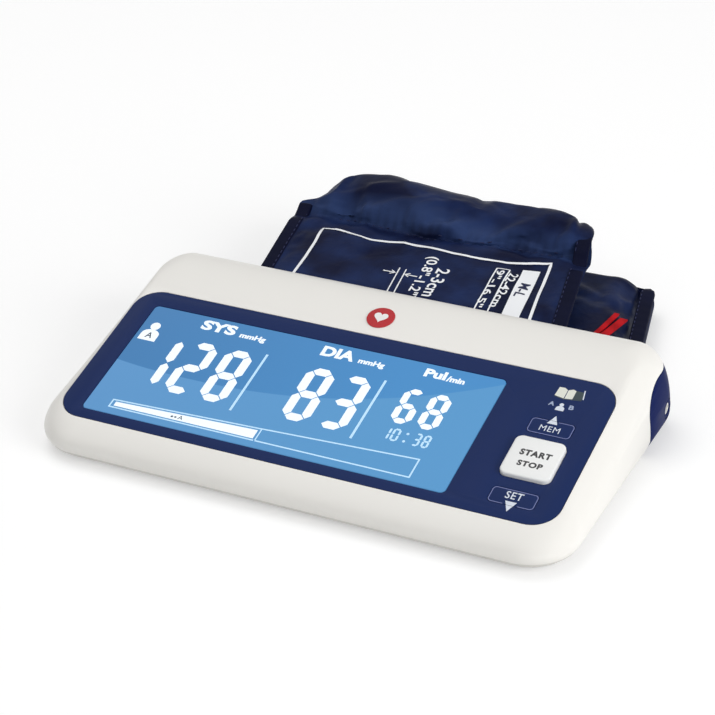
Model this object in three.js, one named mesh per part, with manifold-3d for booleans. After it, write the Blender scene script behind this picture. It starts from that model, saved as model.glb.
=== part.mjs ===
// Desktop blood pressure monitor: a low wedge housing with a tilted display panel and three keys,
// a battery box underneath, and a bay across the rear in which the folded arm cuff is kept.
// Millimetres. X runs to the right, Y to the rear and Z up. While the pieces are placed, Y = 0 is
// the front edge of the housing and Z = 0 the table; the last lines centre the whole on its base.

import * as THREE from 'three';
import { mergeVertices } from 'three/addons/utils/BufferGeometryUtils.js';
import Module from 'manifold-3d';

const wasm = await Module();
wasm.setup();

const DEGREE = Math.PI / 180;

// Housing
const bodyWidth = 209.4;
const bodyDepth = 116.2;
const noseHeight = 11.5;
const topTilt = 14.3 * DEGREE;
const wall = 2.2;
const frontCorner = 18.6;
const rearCorner = 12;
const topFrontCorner = 11;
const topRearCorner = 6.8;
const sideRoll = { run: 9, rise: 13.8, power: 2 };
const rearRoll = { run: 32.7, rise: 32.3, power: 2.7 };
const frontRoll = { run: 10.4, rise: 6, power: 2.1 };
const underRoll = { run: 4.8, rise: 7.2, least: 6, power: 1.75 };
const coverHeight = 3.4;

// Clearances
const seam = 0.3;
const keyGap = 0.25;

// Cuff bay, open to the rear, and the navy housing round it
const bayHeight = 22.2;
const baySideRoom = 14.3;
const bayWall = 1.8;
const bayFloor = 2;
const bayCorner = 3;
const bayRim = 6.6;
const rearJoinRise = 1.1;
const rearJoinRun = 15;
const rearJoinDrop = 11;
const coverLap = 1.2;
const crownRib = { thickness: 1.4, pitch: 42, count: 5 };

// Display panel, measured up the slope from the front edge
const panelSide = 7.5;
const panelHeight = 69.4;
const panelCorner = 10;
const panelThickness = 1.5;
const panelMargin = 9.5;
const ledgeDepth = 2;
const ledgeOverlap = 1.6;
const ledgeOutside = 2.5;

// Display
const windowLeft = 9.1;
const windowRight = 40.3;
const windowBottom = 4.4;
const windowTop = 7.4;
const windowCorner = 2.1;
const glassMargin = 1.5;
const glassThickness = 2.2;
const contactLedge = 3.2;
const backlightThickness = 2.2;

// Keys, each centred on one column
const keyColumn = 17.2;
const startKey = { size: 18.6, corner: 2.7, rise: 1.6, height: 27.7, travel: 0.7 };
const memKey = { width: 15.9, depth: 7, corner: 1.6, height: 43.9, travel: 0.5 };
const setKey = { width: 16.6, depth: 7, corner: 1.6, height: 9.6, travel: 0.5 };
const keyEdge = 0.7;
const keyFlange = 1.2;
const keyFlangeThickness = 0.8;
const switchSize = 6;
const switchStem = 3.4;
const switchStemHeight = 0.6;
const switchClearance = 0.3;

// Main board
const boardThickness = 1.6;
const boardLeftRoom = 12.2;
const boardRightRoom = 5.2;
const boardFrontRoom = 2.9;
const boardTabRoom = 2;
const boardRearRoom = 1.6;
const boardHole = { radius: 1.5, inset: 7 };
const postRadius = 2.6;

// Batteries
const cellRadius = 7.25;
const cellLength = 50.5;
const nubRadius = 2.75;
const nubLength = 1;
const cellGap = 0.3;
const boxSideRoom = 12.7;
const boxWall = 1.2;
const boxEndRoom = 9.6;
const rowRib = { thickness: 1.2, drop: 3.6, endRoom: 14 };
const contactThickness = 0.5;
const contactWidth = 11;
const springWire = 0.7;
const springTurns = 4;
const springRadius = 4.2;
const springTip = 2.4;

// Battery door
const doorThickness = 1.5;
const doorTab = { width: 9, reach: 1.3, thickness: 0.9 };
const latch = { width: 16, depth: 9, slot: 1, grip: 1.6 };
const grip = { width: 9, groove: 0.9, pitch: 2, depth: 0.5, count: 3 };

// Air system
const tubeRadius = 1.7;
const tubeRoom = 0.7;
const tubeStep = 3;
const tubeLeastSteps = 8;
const barbRadius = 0.9;
const barbLength = 3.5;
const pumpRadius = 9.8;
const pumpSideRoom = 28.7;
const pumpRearRoom = 2.4;
const motorLength = 13.5;
const motorBoss = { radius: 3, length: 1.2 };
const pumpHeadLength = 12;
const pumpCap = { radius: 7.4, length: 1.5 };
const pumpEdge = 0.6;
const pumpRib = { thickness: 2, inset: 3, share: 0.6 };
const valveSize = { x: 13, y: 12, z: 10 };
const valveToPump = 30;
const valveRearRoom = 22;
const valveCollar = { radius: 3, length: 1.2 };
const valveFenceHeight = 2.5;
const sensorSize = { x: 8, v: 8, n: 4.4 };
const sensorToPump = 42;
const sensorRearRoom = 2;
const manifoldSize = { x: 16, y: 5, z: 6 };
const manifoldToPump = 36;
const manifoldRearRoom = 4.6;
const manifoldBarbPitch = 8;
const buzzerRadius = 7;
const buzzerHeight = 3.2;
const buzzerNeck = { radius: 3, height: 0.8 };
const buzzerSideRoom = 45;
const buzzerRearRoom = 17;
const soundSlot = { length: 11, width: 1.2, pitch: 3, count: 4 };

// Sockets in the sides of the rear housing
const socketRearRoom = 15.2;
const socketHeight = 9.4;
const airPort = { outer: 5.6, bore: 3.4, depth: 9 };
const powerPort = { outer: 3.6, bore: 2.3, depth: 9, pin: 0.7, pinLength: 7, rearRoom: 12.4 };
const socketTurn = 8;

// Fasteners and feet
const bossRadius = 3;
const bossSideRoom = 7.4;
const bossFrontRoom = 21;
const bossRearRoom = 13.4;
const screwRadius = 1.3;
const screwHeadRadius = 2.6;
const screwHeadHeight = 1.5;
const screwLength = 6.5;
const screwCross = { length: 2.6, width: 0.7, depth: 0.6 };
const footRadius = 5;
const footEdge = 0.5;
const footStandoff = 1;
const footRecess = 0.8;
const footSideRoom = 26.7;
const footFrontRoom = 17;
const footRearRoom = 13.2;

// Arm cuff, folded once: the upper part ends in the padded fold, the lower part is its tail
const cuffEndRoom = 5;
const cuffLeftRoom = 19.6;
const cuffRightRoom = 30.4;
const cuffHeadroom = 1.3;
const cuffThickness = 10.4;
const cuffSlope = 7 * DEGREE;
const cuffTaper = 0.196;
const cuffFlare = 0.147;
const cuffStraight = 6.2;
const cuffReach = 47.8;
const cuffSeamDip = 2.6;
const cuffSeamRun = 12;
const foldLength = 33;
const foldThickness = 20;
const foldRise = 15;
const tailThickness = 9.5;
const tailReach = 66.8;
const tailRightRoom = 1.9;
const tailSet = 22.5;
const tailTaper = 0.235;
const tailRise = 0.03;
const tabSize = { width: 6.4, length: 22, thickness: 0.8 };
const tabReach = 26;
const tabInset = 21;
const tabTurn = -5 * DEGREE;

// Heights and slopes
const underside = footStandoff;
const topSlope = Math.tan(topTilt);
const noseTop = underside + noseHeight;
const coverTop = underside + coverHeight;
const floorTop = underside + wall;
const panelFrame = new THREE.Matrix4()
  .makeRotationX(topTilt)
  .setPosition(0, 0, noseTop);

// The display stack, from the panel down along its normal
const glassTop = -panelThickness - seam;
const backlightTop = glassTop - glassThickness - seam;
const backlightBottom = backlightTop - backlightThickness;
const boardTop = backlightBottom - seam;
const boardBottom = boardTop - boardThickness;
const flangeTop = -panelThickness - seam;
const flangeBottom = flangeTop - keyFlangeThickness;

// From front to rear: the battery box starts where the sloping display clears its roof, and
// behind it follow the corridor of the air tube and the cuff bay.
const cellBottom = underside + doorThickness + cellGap;
const cellTop = cellBottom + 2 * cellRadius;
const cellZ = cellBottom + cellRadius;
const boxRoof = cellTop + cellGap;
const displayClearance = (boxRoof + boxWall + seam - noseTop) - backlightBottom / Math.cos(topTilt);
const boxFront = displayClearance / topSlope + boxWall;
const boxLength = 2 * cellLength + cellGap + boxEndRoom;
const boxDepth = 4 * cellRadius + 2 * cellGap;
const boxRear = boxFront + boxDepth;
const boxLeft = -bodyWidth / 2 + boxSideRoom;
const boxRight = boxLeft + boxLength;
const boxMiddle = (boxLeft + boxRight) / 2;
const rowMiddle = (boxFront + boxRear) / 2;
const rearJoin = boxRear + boxWall + coverLap;
const corridorY = boxRear + boxWall + tubeRoom + tubeRadius;
const bayFront = corridorY + tubeRadius + tubeRoom + bayWall;

// Bay
const bayWidth = bodyWidth - 2 * baySideRoom;
const bayBase = underside + bayFloor;
const bayCeiling = bayBase + bayHeight;
const bayOuterSide = bayWidth / 2 + bayWall;
const rearJoinTop = bayCeiling + rearJoinRise;

// Panel and window
const panelWidth = bodyWidth - 2 * panelSide;
const panelMiddle = panelMargin + panelHeight / 2;
const windowWidth = panelWidth - windowLeft - windowRight;
const windowHeight = panelHeight - windowBottom - windowTop;
const windowX = -panelWidth / 2 + windowLeft + windowWidth / 2;
const windowV = panelMargin + windowBottom + windowHeight / 2;
const keyX = panelWidth / 2 - keyColumn;
const startV = panelMargin + startKey.height;
const memV = panelMargin + memKey.height;
const setV = panelMargin + setKey.height;

// Board
const boardLeft = -panelWidth / 2 + boardLeftRoom;
const boardRight = panelWidth / 2 - boardRightRoom;
const boardFront = panelMargin + boardFrontRoom;
const boardRear = slopeAt(boxFront - boxWall - boardRearRoom, boardBottom);
const boardTabRear = memV + switchSize / 2 + boardTabRoom;
const boardTabLeft = keyX - startKey.size / 2 - keyFlange;

// Air system
const pumpX = bodyWidth / 2 - pumpSideRoom;
const pumpZ = floorTop + seam + pumpRadius;
const headEnd = bayFront - bayWall - pumpRearRoom;
const headFront = headEnd - pumpHeadLength;
const motorFront = headFront - seam - motorLength;
const outletY = headFront + pumpHeadLength / 2;
const outletX = pumpX - pumpRadius - barbLength;
const socketY = bodyDepth - socketRearRoom;
const powerY = bodyDepth - powerPort.rearRoom;
const socketZ = underside + socketHeight;
const portX = (bodyWidth / 2 + bayOuterSide) / 2;
const portFace = bodyWidth / 2 - seam;
const portBack = bayOuterSide + seam;
const portFront = socketY - airPort.outer;
const manifoldX = pumpX - manifoldToPump;
const manifoldY = corridorY - manifoldRearRoom;
const manifoldLeft = manifoldX - manifoldSize.x / 2;
const manifoldRight = manifoldX + manifoldSize.x / 2;
const manifoldFront = manifoldY - manifoldSize.y / 2;
const sensorBarbX = manifoldX - manifoldBarbPitch / 2;
const valveBarbX = manifoldX + manifoldBarbPitch / 2;
const valveX = pumpX - valveToPump;
const valveRear = corridorY - valveRearRoom;
const sensorX = pumpX - sensorToPump;
const sensorV = boardRear - sensorRearRoom - sensorSize.v / 2;
const sensorN = boardBottom - seam - sensorSize.n / 2;
const buzzerX = -bodyWidth / 2 + buzzerSideRoom;
const buzzerV = boardRear - buzzerRearRoom;

// Places of repeated pieces
const bossX = bodyWidth / 2 - bossSideRoom;
const bossPlaces = [
  [-bossX, bossFrontRoom],
  [bossX, bossFrontRoom],
  [-bossX, rearJoin - bossRearRoom],
  [bossX, rearJoin - bossRearRoom],
];
const footX = bodyWidth / 2 - footSideRoom;
const footRearY = bodyDepth - footRearRoom;
const footPlaces = [
  [-footX, footFrontRoom],
  [footX, footFrontRoom],
  [-footX, footRearY],
  [footX, footRearY],
];
const boardHoles = [
  [boardLeft + boardHole.inset, boardFront + boardHole.inset],
  [boardRight - boardHole.inset, boardFront + boardHole.inset],
  [boardLeft + boardHole.inset, boardRear - boardHole.inset],
  [boardTabLeft - boardHole.inset, boardRear - boardHole.inset],
];
const rowY = [rowMiddle - cellGap / 2 - cellRadius, rowMiddle + cellGap / 2 + cellRadius];
const doorTabX = [boxMiddle - boxLength / 3, boxMiddle + boxLength / 3];

// Cuff
const cuffInnerEnd = bayFront + cuffEndRoom;
const cuffLeft = -bayWidth / 2 + cuffLeftRoom;
const cuffRight = bayWidth / 2 - cuffRightRoom;
const cuffTaperFrom = bodyDepth - cuffStraight;
const cuffTopAtMouth = bayCeiling - cuffHeadroom;
const cuffSeamY = bodyDepth + cuffReach;
const foldPeak = cuffTopAtMouth + foldRise;
const tailUnderside = bayBase + seam;
const tailEnd = bodyDepth + tailReach;
const tailRight = bayWidth / 2 - tailRightRoom;
const tailLeft = cuffLeft + tailSet;

// How far up the slope a place is that lies at y, at a depth n under the panel.
function slopeAt(y, n) {
  return (y + n * Math.sin(topTilt)) / Math.cos(topTilt);
}

const material = {
  whitePlastic: new THREE.MeshStandardMaterial({ color: 0xece9e2, roughness: 0.38 }),
  greyPlastic: new THREE.MeshStandardMaterial({ color: 0xd9d7d0, roughness: 0.5 }),
  navyPlastic: new THREE.MeshStandardMaterial({ color: 0x1e2c5e, roughness: 0.3 }),
  navyPanel: new THREE.MeshStandardMaterial({ color: 0x1f2f5c, roughness: 0.22 }),
  keyWhite: new THREE.MeshStandardMaterial({ color: 0xe9e9ea, roughness: 0.35 }),
  clearLens: new THREE.MeshStandardMaterial({
    color: 0xffffff,
    roughness: 0.08,
    transparent: true,
    opacity: 0.25,
  }),
  displayBlue: new THREE.MeshStandardMaterial({ color: 0x4c90cb, roughness: 0.3 }),
  lightGuide: new THREE.MeshStandardMaterial({ color: 0xe8f0f8, roughness: 0.4 }),
  boardGreen: new THREE.MeshStandardMaterial({ color: 0x1d6b45, roughness: 0.5 }),
  blackPlastic: new THREE.MeshStandardMaterial({ color: 0x1b1c1f, roughness: 0.5 }),
  steel: new THREE.MeshStandardMaterial({ color: 0xc4c6c9, roughness: 0.3, metalness: 1 }),
  cellWrap: new THREE.MeshStandardMaterial({ color: 0x3b4046, roughness: 0.35 }),
  silicone: new THREE.MeshStandardMaterial({ color: 0xd5d3cb, roughness: 0.6 }),
  rubber: new THREE.MeshStandardMaterial({ color: 0x3a3c40, roughness: 0.85 }),
  navyNylon: new THREE.MeshStandardMaterial({ color: 0x17203f, roughness: 0.7 }),
  redWebbing: new THREE.MeshStandardMaterial({ color: 0xc2202c, roughness: 0.75 }),
};

const monitor = new THREE.Group();
monitor.name = 'blood_pressure_monitor';

// Solids: a closed geometry becomes a solid that can be joined and cut, and a finished solid
// becomes a named mesh in the assembly.
function solid(geometry) {
  const bare = geometry.clone();
  bare.deleteAttribute('normal');
  bare.deleteAttribute('uv');
  const merged = mergeVertices(bare, 1e-4);
  return new wasm.Manifold(new wasm.Mesh({
    numProp: 3,
    vertProperties: new Float32Array(merged.attributes.position.array),
    triVerts: new Uint32Array(merged.index.array),
  }));
}

function addPart(name, shape, look) {
  const mesh = shape.getMesh();
  const geometry = new THREE.BufferGeometry();
  geometry.setAttribute('position', new THREE.BufferAttribute(mesh.vertProperties, 3));
  geometry.setIndex(new THREE.BufferAttribute(mesh.triVerts, 1));
  geometry.computeVertexNormals();
  const part = new THREE.Mesh(geometry, look);
  part.name = name;
  monitor.add(part);
}

function joined(first, ...rest) {
  return rest.reduce((whole, next) => whole.add(next), first);
}

function cut(first, ...rest) {
  return rest.reduce((whole, next) => whole.subtract(next), first);
}

// Shapes
function roundedRectangle(width, depth, corner, x = 0, y = 0) {
  const right = width / 2;
  const top = depth / 2;
  const shape = new THREE.Shape();
  shape.moveTo(x - right + corner, y - top);
  shape.lineTo(x + right - corner, y - top);
  shape.absarc(x + right - corner, y - top + corner, corner, -Math.PI / 2, 0);
  shape.lineTo(x + right, y + top - corner);
  shape.absarc(x + right - corner, y + top - corner, corner, 0, Math.PI / 2);
  shape.lineTo(x - right + corner, y + top);
  shape.absarc(x - right + corner, y + top - corner, corner, Math.PI / 2, Math.PI);
  shape.lineTo(x - right, y - top + corner);
  shape.absarc(x - right + corner, y - top + corner, corner, Math.PI, 1.5 * Math.PI);
  return shape;
}

// A prism whose outline lies in X and Y, from one height to another.
function prism(shape, low, high, curveSegments = 6) {
  const geometry = new THREE.ExtrudeGeometry(shape, {
    depth: high - low,
    bevelEnabled: false,
    curveSegments,
  });
  return geometry.translate(0, 0, low);
}

// The same in the frame of the sloping panel, where the heights run along its normal.
function panelPrism(shape, low, high, curveSegments = 6) {
  return solid(prism(shape, low, high, curveSegments).applyMatrix4(panelFrame));
}

function block(x0, x1, y0, y1, z0, z1) {
  const geometry = new THREE.BoxGeometry(x1 - x0, y1 - y0, z1 - z0);
  return solid(geometry.translate((x0 + x1) / 2, (y0 + y1) / 2, (z0 + z1) / 2));
}

function panelBlock(x0, x1, v0, v1, n0, n1) {
  const geometry = new THREE.BoxGeometry(x1 - x0, v1 - v0, n1 - n0);
  geometry.translate((x0 + x1) / 2, (v0 + v1) / 2, (n0 + n1) / 2);
  return solid(geometry.applyMatrix4(panelFrame));
}

// A cylinder between two places on one axis: 'x', 'y' or 'z'.
function rod(axis, radius, from, to, a, b, sides = 20) {
  const geometry = new THREE.CylinderGeometry(radius, radius, to - from, sides);
  const middle = (from + to) / 2;
  if (axis === 'x') {
    geometry.rotateZ(-Math.PI / 2).translate(middle, a, b);
  } else if (axis === 'y') {
    geometry.translate(a, middle, b);
  } else {
    geometry.rotateX(Math.PI / 2).translate(a, b, middle);
  }
  return solid(geometry);
}

// A disc or pin in the frame of the sloping panel, standing along its normal.
function panelRod(radius, low, high, x, v, sides = 20) {
  const geometry = new THREE.CylinderGeometry(radius, radius, high - low, sides);
  geometry.rotateX(Math.PI / 2).translate(x, v, (low + high) / 2);
  return solid(geometry.applyMatrix4(panelFrame));
}

// A turned piece about an axis along Z: the profile runs from the axis at one end to the axis at
// the other, as pairs of radius and height.
function turned(profile, sides) {
  const points = profile.map(([radius, height]) => new THREE.Vector2(radius, height));
  return new THREE.LatheGeometry(points, sides).rotateX(Math.PI / 2);
}

// A closed skin through a stack of rings that have as many points each, with flat ends.
function loft(rings) {
  const count = rings[0].length;
  const points = rings.flat();
  const index = [];
  for (let level = 0; level < rings.length - 1; level += 1) {
    for (let k = 0; k < count; k += 1) {
      const a = level * count + k;
      const b = level * count + ((k + 1) % count);
      index.push(a, b, b + count, a, b + count, a + count);
    }
  }
  const ends = [rings[0], rings[rings.length - 1]].map((ring) =>
    ring.reduce((sum, p) => sum.add(p), new THREE.Vector3()).divideScalar(count));
  const first = points.length;
  const lastRing = first - count;
  for (let k = 0; k < count; k += 1) {
    const next = (k + 1) % count;
    index.push(first, next, k);
    index.push(first + 1, lastRing + k, lastRing + next);
  }
  const geometry = new THREE.BufferGeometry().setFromPoints([...points, ...ends]);
  geometry.setIndex(index);
  return solid(geometry);
}

// Housing form: rounded rectangles stacked from the flat underside, out round the lower edge to
// the widest level, and in again over the sides, the nose and the crown to the sloping top.
const cornerSteps = 7;

function planRing(side, front, rear, frontRadius, rearRadius) {
  const corners = [
    [side - frontRadius, front + frontRadius, frontRadius, -90],
    [side - rearRadius, rear - rearRadius, rearRadius, 0],
    [-side + rearRadius, rear - rearRadius, rearRadius, 90],
    [-side + frontRadius, front + frontRadius, frontRadius, 180],
  ];
  const ring = [];
  for (const [x, y, radius, start] of corners) {
    for (let k = 0; k <= cornerSteps; k += 1) {
      const angle = (start + (90 * k) / cornerSteps) * DEGREE;
      const normal = { x: Math.cos(angle), y: Math.sin(angle) };
      ring.push({ x: x + radius * normal.x, y: y + radius * normal.y, normal });
    }
  }
  return ring;
}

function housingForm(inset, lowerSteps, upperSteps) {
  const least = 1;
  const side = bodyWidth / 2 - inset;
  const front = inset;
  const rear = bodyDepth - inset;
  const base = underside + inset;
  const lift = noseTop - inset / Math.cos(topTilt);
  const topAt = (y) => lift + topSlope * y;
  const widest = planRing(side, front, rear, frontCorner - inset, rearCorner - inset);
  const share = widest.map(({ normal }) => ({
    side: normal.x ** 2,
    rear: Math.max(normal.y, 0) ** 2,
    front: Math.min(normal.y, 0) ** 2,
  }));
  const widestHeight = widest.map((point, k) => {
    const rise = share[k].side * sideRoll.rise + share[k].rear * rearRoll.rise
      + share[k].front * frontRoll.rise;
    const height = Math.min(base + underRoll.rise, topAt(point.y) - rise);
    return Math.max(base + underRoll.least - inset, height);
  });
  const fall = (value, roll) => 1 - Math.max(value, 0) ** (2 / roll.power);
  const rings = [];
  for (let step = 0; step <= lowerSteps; step += 1) {
    const angle = (Math.PI / 2) * (step / lowerSteps);
    const inward = underRoll.run * fall(Math.sin(angle), underRoll);
    const up = fall(Math.cos(angle), underRoll);
    const ring = planRing(
      side - inward,
      front + inward,
      rear - inward,
      Math.max(frontCorner - inset - inward, least),
      Math.max(rearCorner - inset - inward, least),
    );
    rings.push(ring.map((p, k) =>
      new THREE.Vector3(p.x, p.y, base + (widestHeight[k] - base) * up)));
  }
  for (let step = 1; step <= upperSteps; step += 1) {
    const angle = (Math.PI / 2) * (step / upperSteps);
    const inward = (roll) => roll.run * fall(Math.cos(angle), roll);
    const turn = 1 - Math.cos(angle);
    const ring = planRing(
      side - inward(sideRoll),
      front + inward(frontRoll),
      rear - inward(rearRoll),
      frontCorner - inset + (topFrontCorner - frontCorner) * turn,
      rearCorner - inset + (topRearCorner - rearCorner) * turn,
    );
    rings.push(ring.map((p, k) => {
      const drop = (topAt(widest[k].y) - widestHeight[k])
        * (share[k].side * fall(Math.sin(angle), sideRoll)
          + share[k].rear * fall(Math.sin(angle), rearRoll)
          + share[k].front * fall(Math.sin(angle), frontRoll));
      return new THREE.Vector3(p.x, p.y, topAt(p.y) - drop);
    }));
  }
  return loft(rings);
}

const outerForm = housingForm(0, 4, 8);
const innerForm = housingForm(wall, 3, 5);
const middleForm = housingForm(wall / 2, 2, 3);

// Everything behind the joint between the white and the navy housing: upright at its front,
// rounded over, then level round the rear under the white crown.
function rearRegion(grow) {
  const far = bodyDepth + 20;
  const low = -20;
  const front = rearJoin - grow;
  const top = rearJoinTop + grow;
  const shape = new THREE.Shape();
  shape.moveTo(front, low);
  shape.lineTo(far, low);
  shape.lineTo(far, top);
  shape.lineTo(front + rearJoinRun, top);
  shape.absellipse(
    front + rearJoinRun,
    top - rearJoinDrop,
    rearJoinRun,
    rearJoinDrop,
    Math.PI / 2,
    Math.PI,
  );
  const geometry = prism(shape, -bodyWidth, bodyWidth, 8);
  const alongX = new THREE.Matrix4().makeBasis(
    new THREE.Vector3(0, 1, 0),
    new THREE.Vector3(0, 0, 1),
    new THREE.Vector3(1, 0, 0),
  );
  return solid(geometry.applyMatrix4(alongX));
}

// A length that reaches past the housing on every side.
const wide = bodyWidth;

// White top shell: nose, sides and crown in one moulding, with the recess that carries the
// display panel on a ledge, the opening inside it, ribs under the crown and four screw bosses.
function topShell() {
  const ledgeShape = roundedRectangle(
    panelWidth + 2 * ledgeOutside,
    panelHeight + 2 * ledgeOutside,
    panelCorner + ledgeOutside,
    0,
    panelMiddle,
  );
  const opening = roundedRectangle(
    panelWidth - 2 * ledgeOverlap,
    panelHeight - 2 * ledgeOverlap,
    panelCorner - ledgeOverlap,
    0,
    panelMiddle,
  );
  const recess = roundedRectangle(
    panelWidth + 2 * seam,
    panelHeight + 2 * seam,
    panelCorner + seam,
    0,
    panelMiddle,
  );
  const recessFloor = -panelThickness - seam;
  const ledge = panelPrism(ledgeShape, recessFloor - ledgeDepth, -wall / 2);
  let shell = joined(cut(outerForm, innerForm), ledge.intersect(outerForm));
  for (const [x, y] of bossPlaces) {
    shell = shell.add(rod('z', bossRadius, coverTop, wide, x, y).intersect(middleForm));
  }
  for (let k = 0; k < crownRib.count; k += 1) {
    const x = crownRib.pitch * (k - (crownRib.count - 1) / 2);
    const rib = block(
      x - crownRib.thickness / 2,
      x + crownRib.thickness / 2,
      rearJoin - 2 * wall,
      bodyDepth,
      rearJoinTop + seam,
      wide,
    );
    shell = shell.add(rib.intersect(middleForm));
  }
  shell = cut(
    shell,
    panelPrism(recess, recessFloor, ledgeDepth),
    panelPrism(opening, recessFloor - 2 * ledgeDepth, 0),
    rearRegion(seam),
    block(-wide, wide, -wide, rearJoin, -wide, coverTop),
  );
  for (const [x, y] of bossPlaces) {
    const screwEnd = underside + screwHeadHeight + screwLength + seam;
    shell = shell.subtract(rod('z', screwRadius + seam, 0, screwEnd, x, y, 14));
  }
  return shell;
}

// Navy rear housing: the outer skin behind the joint, and inside it the five walls of the bay,
// which is open to the rear.
function rearHousing() {
  const skin = cut(outerForm.intersect(rearRegion(0)), innerForm);
  const bayMiddle = (bayBase + bayCeiling) / 2;
  const outline = (grow) =>
    roundedRectangle(bayWidth + 2 * grow, bayHeight + 2 * grow, bayCorner + grow);
  const alongY = (shape, from, to) => {
    const geometry = prism(shape, from, to, 4);
    const frame = new THREE.Matrix4().makeBasis(
      new THREE.Vector3(-1, 0, 0),
      new THREE.Vector3(0, 0, 1),
      new THREE.Vector3(0, 1, 0),
    );
    return solid(geometry.applyMatrix4(frame).translate(0, 0, bayMiddle));
  };
  const box = alongY(outline(bayWall), bayFront - bayWall, bodyDepth + wall);
  const mouthRim = block(-wide, wide, bodyDepth - bayRim, wide, -wide, rearJoinTop);
  const rim = outerForm.intersect(rearRegion(0)).intersect(mouthRim);
  let housing = joined(skin, box.intersect(outerForm), rim);
  housing = housing.intersect(block(-wide, wide, 0, wide, -wide, rearJoinTop));
  housing = cut(housing, alongY(outline(0), bayFront, bodyDepth + 3 * wall));
  housing = cut(
    housing,
    rod('x', airPort.outer + seam, -wide, -bayOuterSide, socketY, socketZ, 28),
    rod('x', powerPort.outer + seam, bayOuterSide, wide, powerY, socketZ, 24),
    ...footRecesses(),
  );
  return housing;
}

function footRecesses() {
  return footPlaces.map(([x, y]) =>
    rod('z', footRadius + seam, 0, underside + footRecess, x, y));
}

// Bottom cover: a shallow tray that closes the wedge. On it stand the battery box, the board
// posts, the cradle of the pump, the fence of the valve and the pad of the manifold; through it go
// the openings for the battery door, the screws, the front feet and the sound of the buzzer.
function bottomCover() {
  const below = block(-wide, wide, -wide, rearJoin - seam, -wide, coverTop - seam);
  const root = underside + wall / 2;
  const tray = cut(outerForm.intersect(below), innerForm);
  const box = cut(
    block(
      boxLeft - boxWall,
      boxRight + boxWall,
      boxFront - boxWall,
      boxRear + boxWall,
      underside,
      boxRoof + boxWall,
    ),
    block(boxLeft, boxRight, boxFront, boxRear, 0, boxRoof),
  );
  const ribBetweenRows = block(
    boxLeft + rowRib.endRoom,
    boxRight - rowRib.endRoom,
    rowMiddle - rowRib.thickness / 2,
    rowMiddle + rowRib.thickness / 2,
    boxRoof - rowRib.drop,
    boxRoof + boxWall / 2,
  );
  const posts = bossPlaces.map(([x, y]) =>
    rod('z', bossRadius, root, coverTop - seam, x, y).intersect(outerForm));
  const manifoldPad = block(
    manifoldX - manifoldSize.x / 2,
    manifoldX + manifoldSize.x / 2,
    manifoldY - manifoldSize.y / 2,
    manifoldY + manifoldSize.y / 2,
    root,
    socketZ - manifoldSize.z / 2 - seam,
  );
  let cover = joined(
    tray,
    box,
    ribBetweenRows,
    ...posts,
    ...boardHoles.map(([x, v]) => boardPost(x, v, root)),
    ...[motorFront, headFront].map((front) => pumpCradle(front + pumpRib.inset, root)),
    valveFence(root),
    manifoldPad,
  );
  const doorTabRecesses = doorTabX.map((x) => block(
    x - doorTab.width / 2 - seam,
    x + doorTab.width / 2 + seam,
    boxRear - seam,
    boxRear + doorTab.reach + seam,
    0,
    floorTop + seam,
  ));
  const latchRecess = block(
    boxMiddle - latch.width / 2,
    boxMiddle + latch.width / 2,
    boxFront - latch.grip,
    boxFront + seam,
    0,
    underside + doorThickness,
  );
  const screwHoles = bossPlaces.flatMap(([x, y]) => [
    rod('z', screwRadius + seam, 0, coverTop, x, y, 14),
    rod('z', screwHeadRadius + seam, 0, underside + screwHeadHeight, x, y),
  ]);
  cover = cut(
    cover,
    block(boxLeft, boxRight, boxFront, boxRear, 0, floorTop + seam),
    ...doorTabRecesses,
    latchRecess,
    ...screwHoles,
    ...footRecesses(),
    ...soundSlots(),
  );
  return cover;
}

// A post under the board, its top parallel to it, with a pin through the hole of the board.
function boardPost(x, v, root) {
  const y = v * Math.cos(topTilt) - boardBottom * Math.sin(topTilt);
  const top = boardBottom - seam;
  const post = cut(
    rod('z', postRadius, root, noseTop + topSlope * y, x, y, 16),
    panelBlock(-wide, wide, -wide, wide, top, wide),
  );
  return post.add(panelRod(boardHole.radius - seam, top - wall / 2, boardTop, x, v, 12));
}

// A rib with a round hollow, in which the pump lies.
function pumpCradle(y, root) {
  const rear = y + pumpRib.thickness;
  const rib = block(
    pumpX - pumpRadius,
    pumpX + pumpRadius,
    y,
    rear,
    root,
    floorTop + pumpRadius * pumpRib.share,
  );
  return rib.subtract(rod('y', pumpRadius + seam, y - seam, rear + seam, pumpX, pumpZ, 28));
}

// A low wall round the release valve.
function valveFence(root) {
  const room = (grow) => block(
    valveX - valveSize.x / 2 - grow,
    valveX + valveSize.x / 2 + grow,
    valveRear - valveSize.y - grow,
    valveRear + grow,
    root,
    floorTop + valveFenceHeight,
  );
  return cut(
    room(seam + boxWall),
    room(seam).intersect(block(-wide, wide, -wide, wide, floorTop, wide)),
  );
}

function soundSlots() {
  const y = buzzerV * Math.cos(topTilt) - boardBottom * Math.sin(topTilt);
  const slots = [];
  for (let k = 0; k < soundSlot.count; k += 1) {
    const x = buzzerX + soundSlot.pitch * (k - (soundSlot.count - 1) / 2);
    slots.push(block(
      x - soundSlot.width / 2,
      x + soundSlot.width / 2,
      y - soundSlot.length / 2,
      y + soundSlot.length / 2,
      0,
      floorTop + seam,
    ));
  }
  return slots;
}

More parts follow.
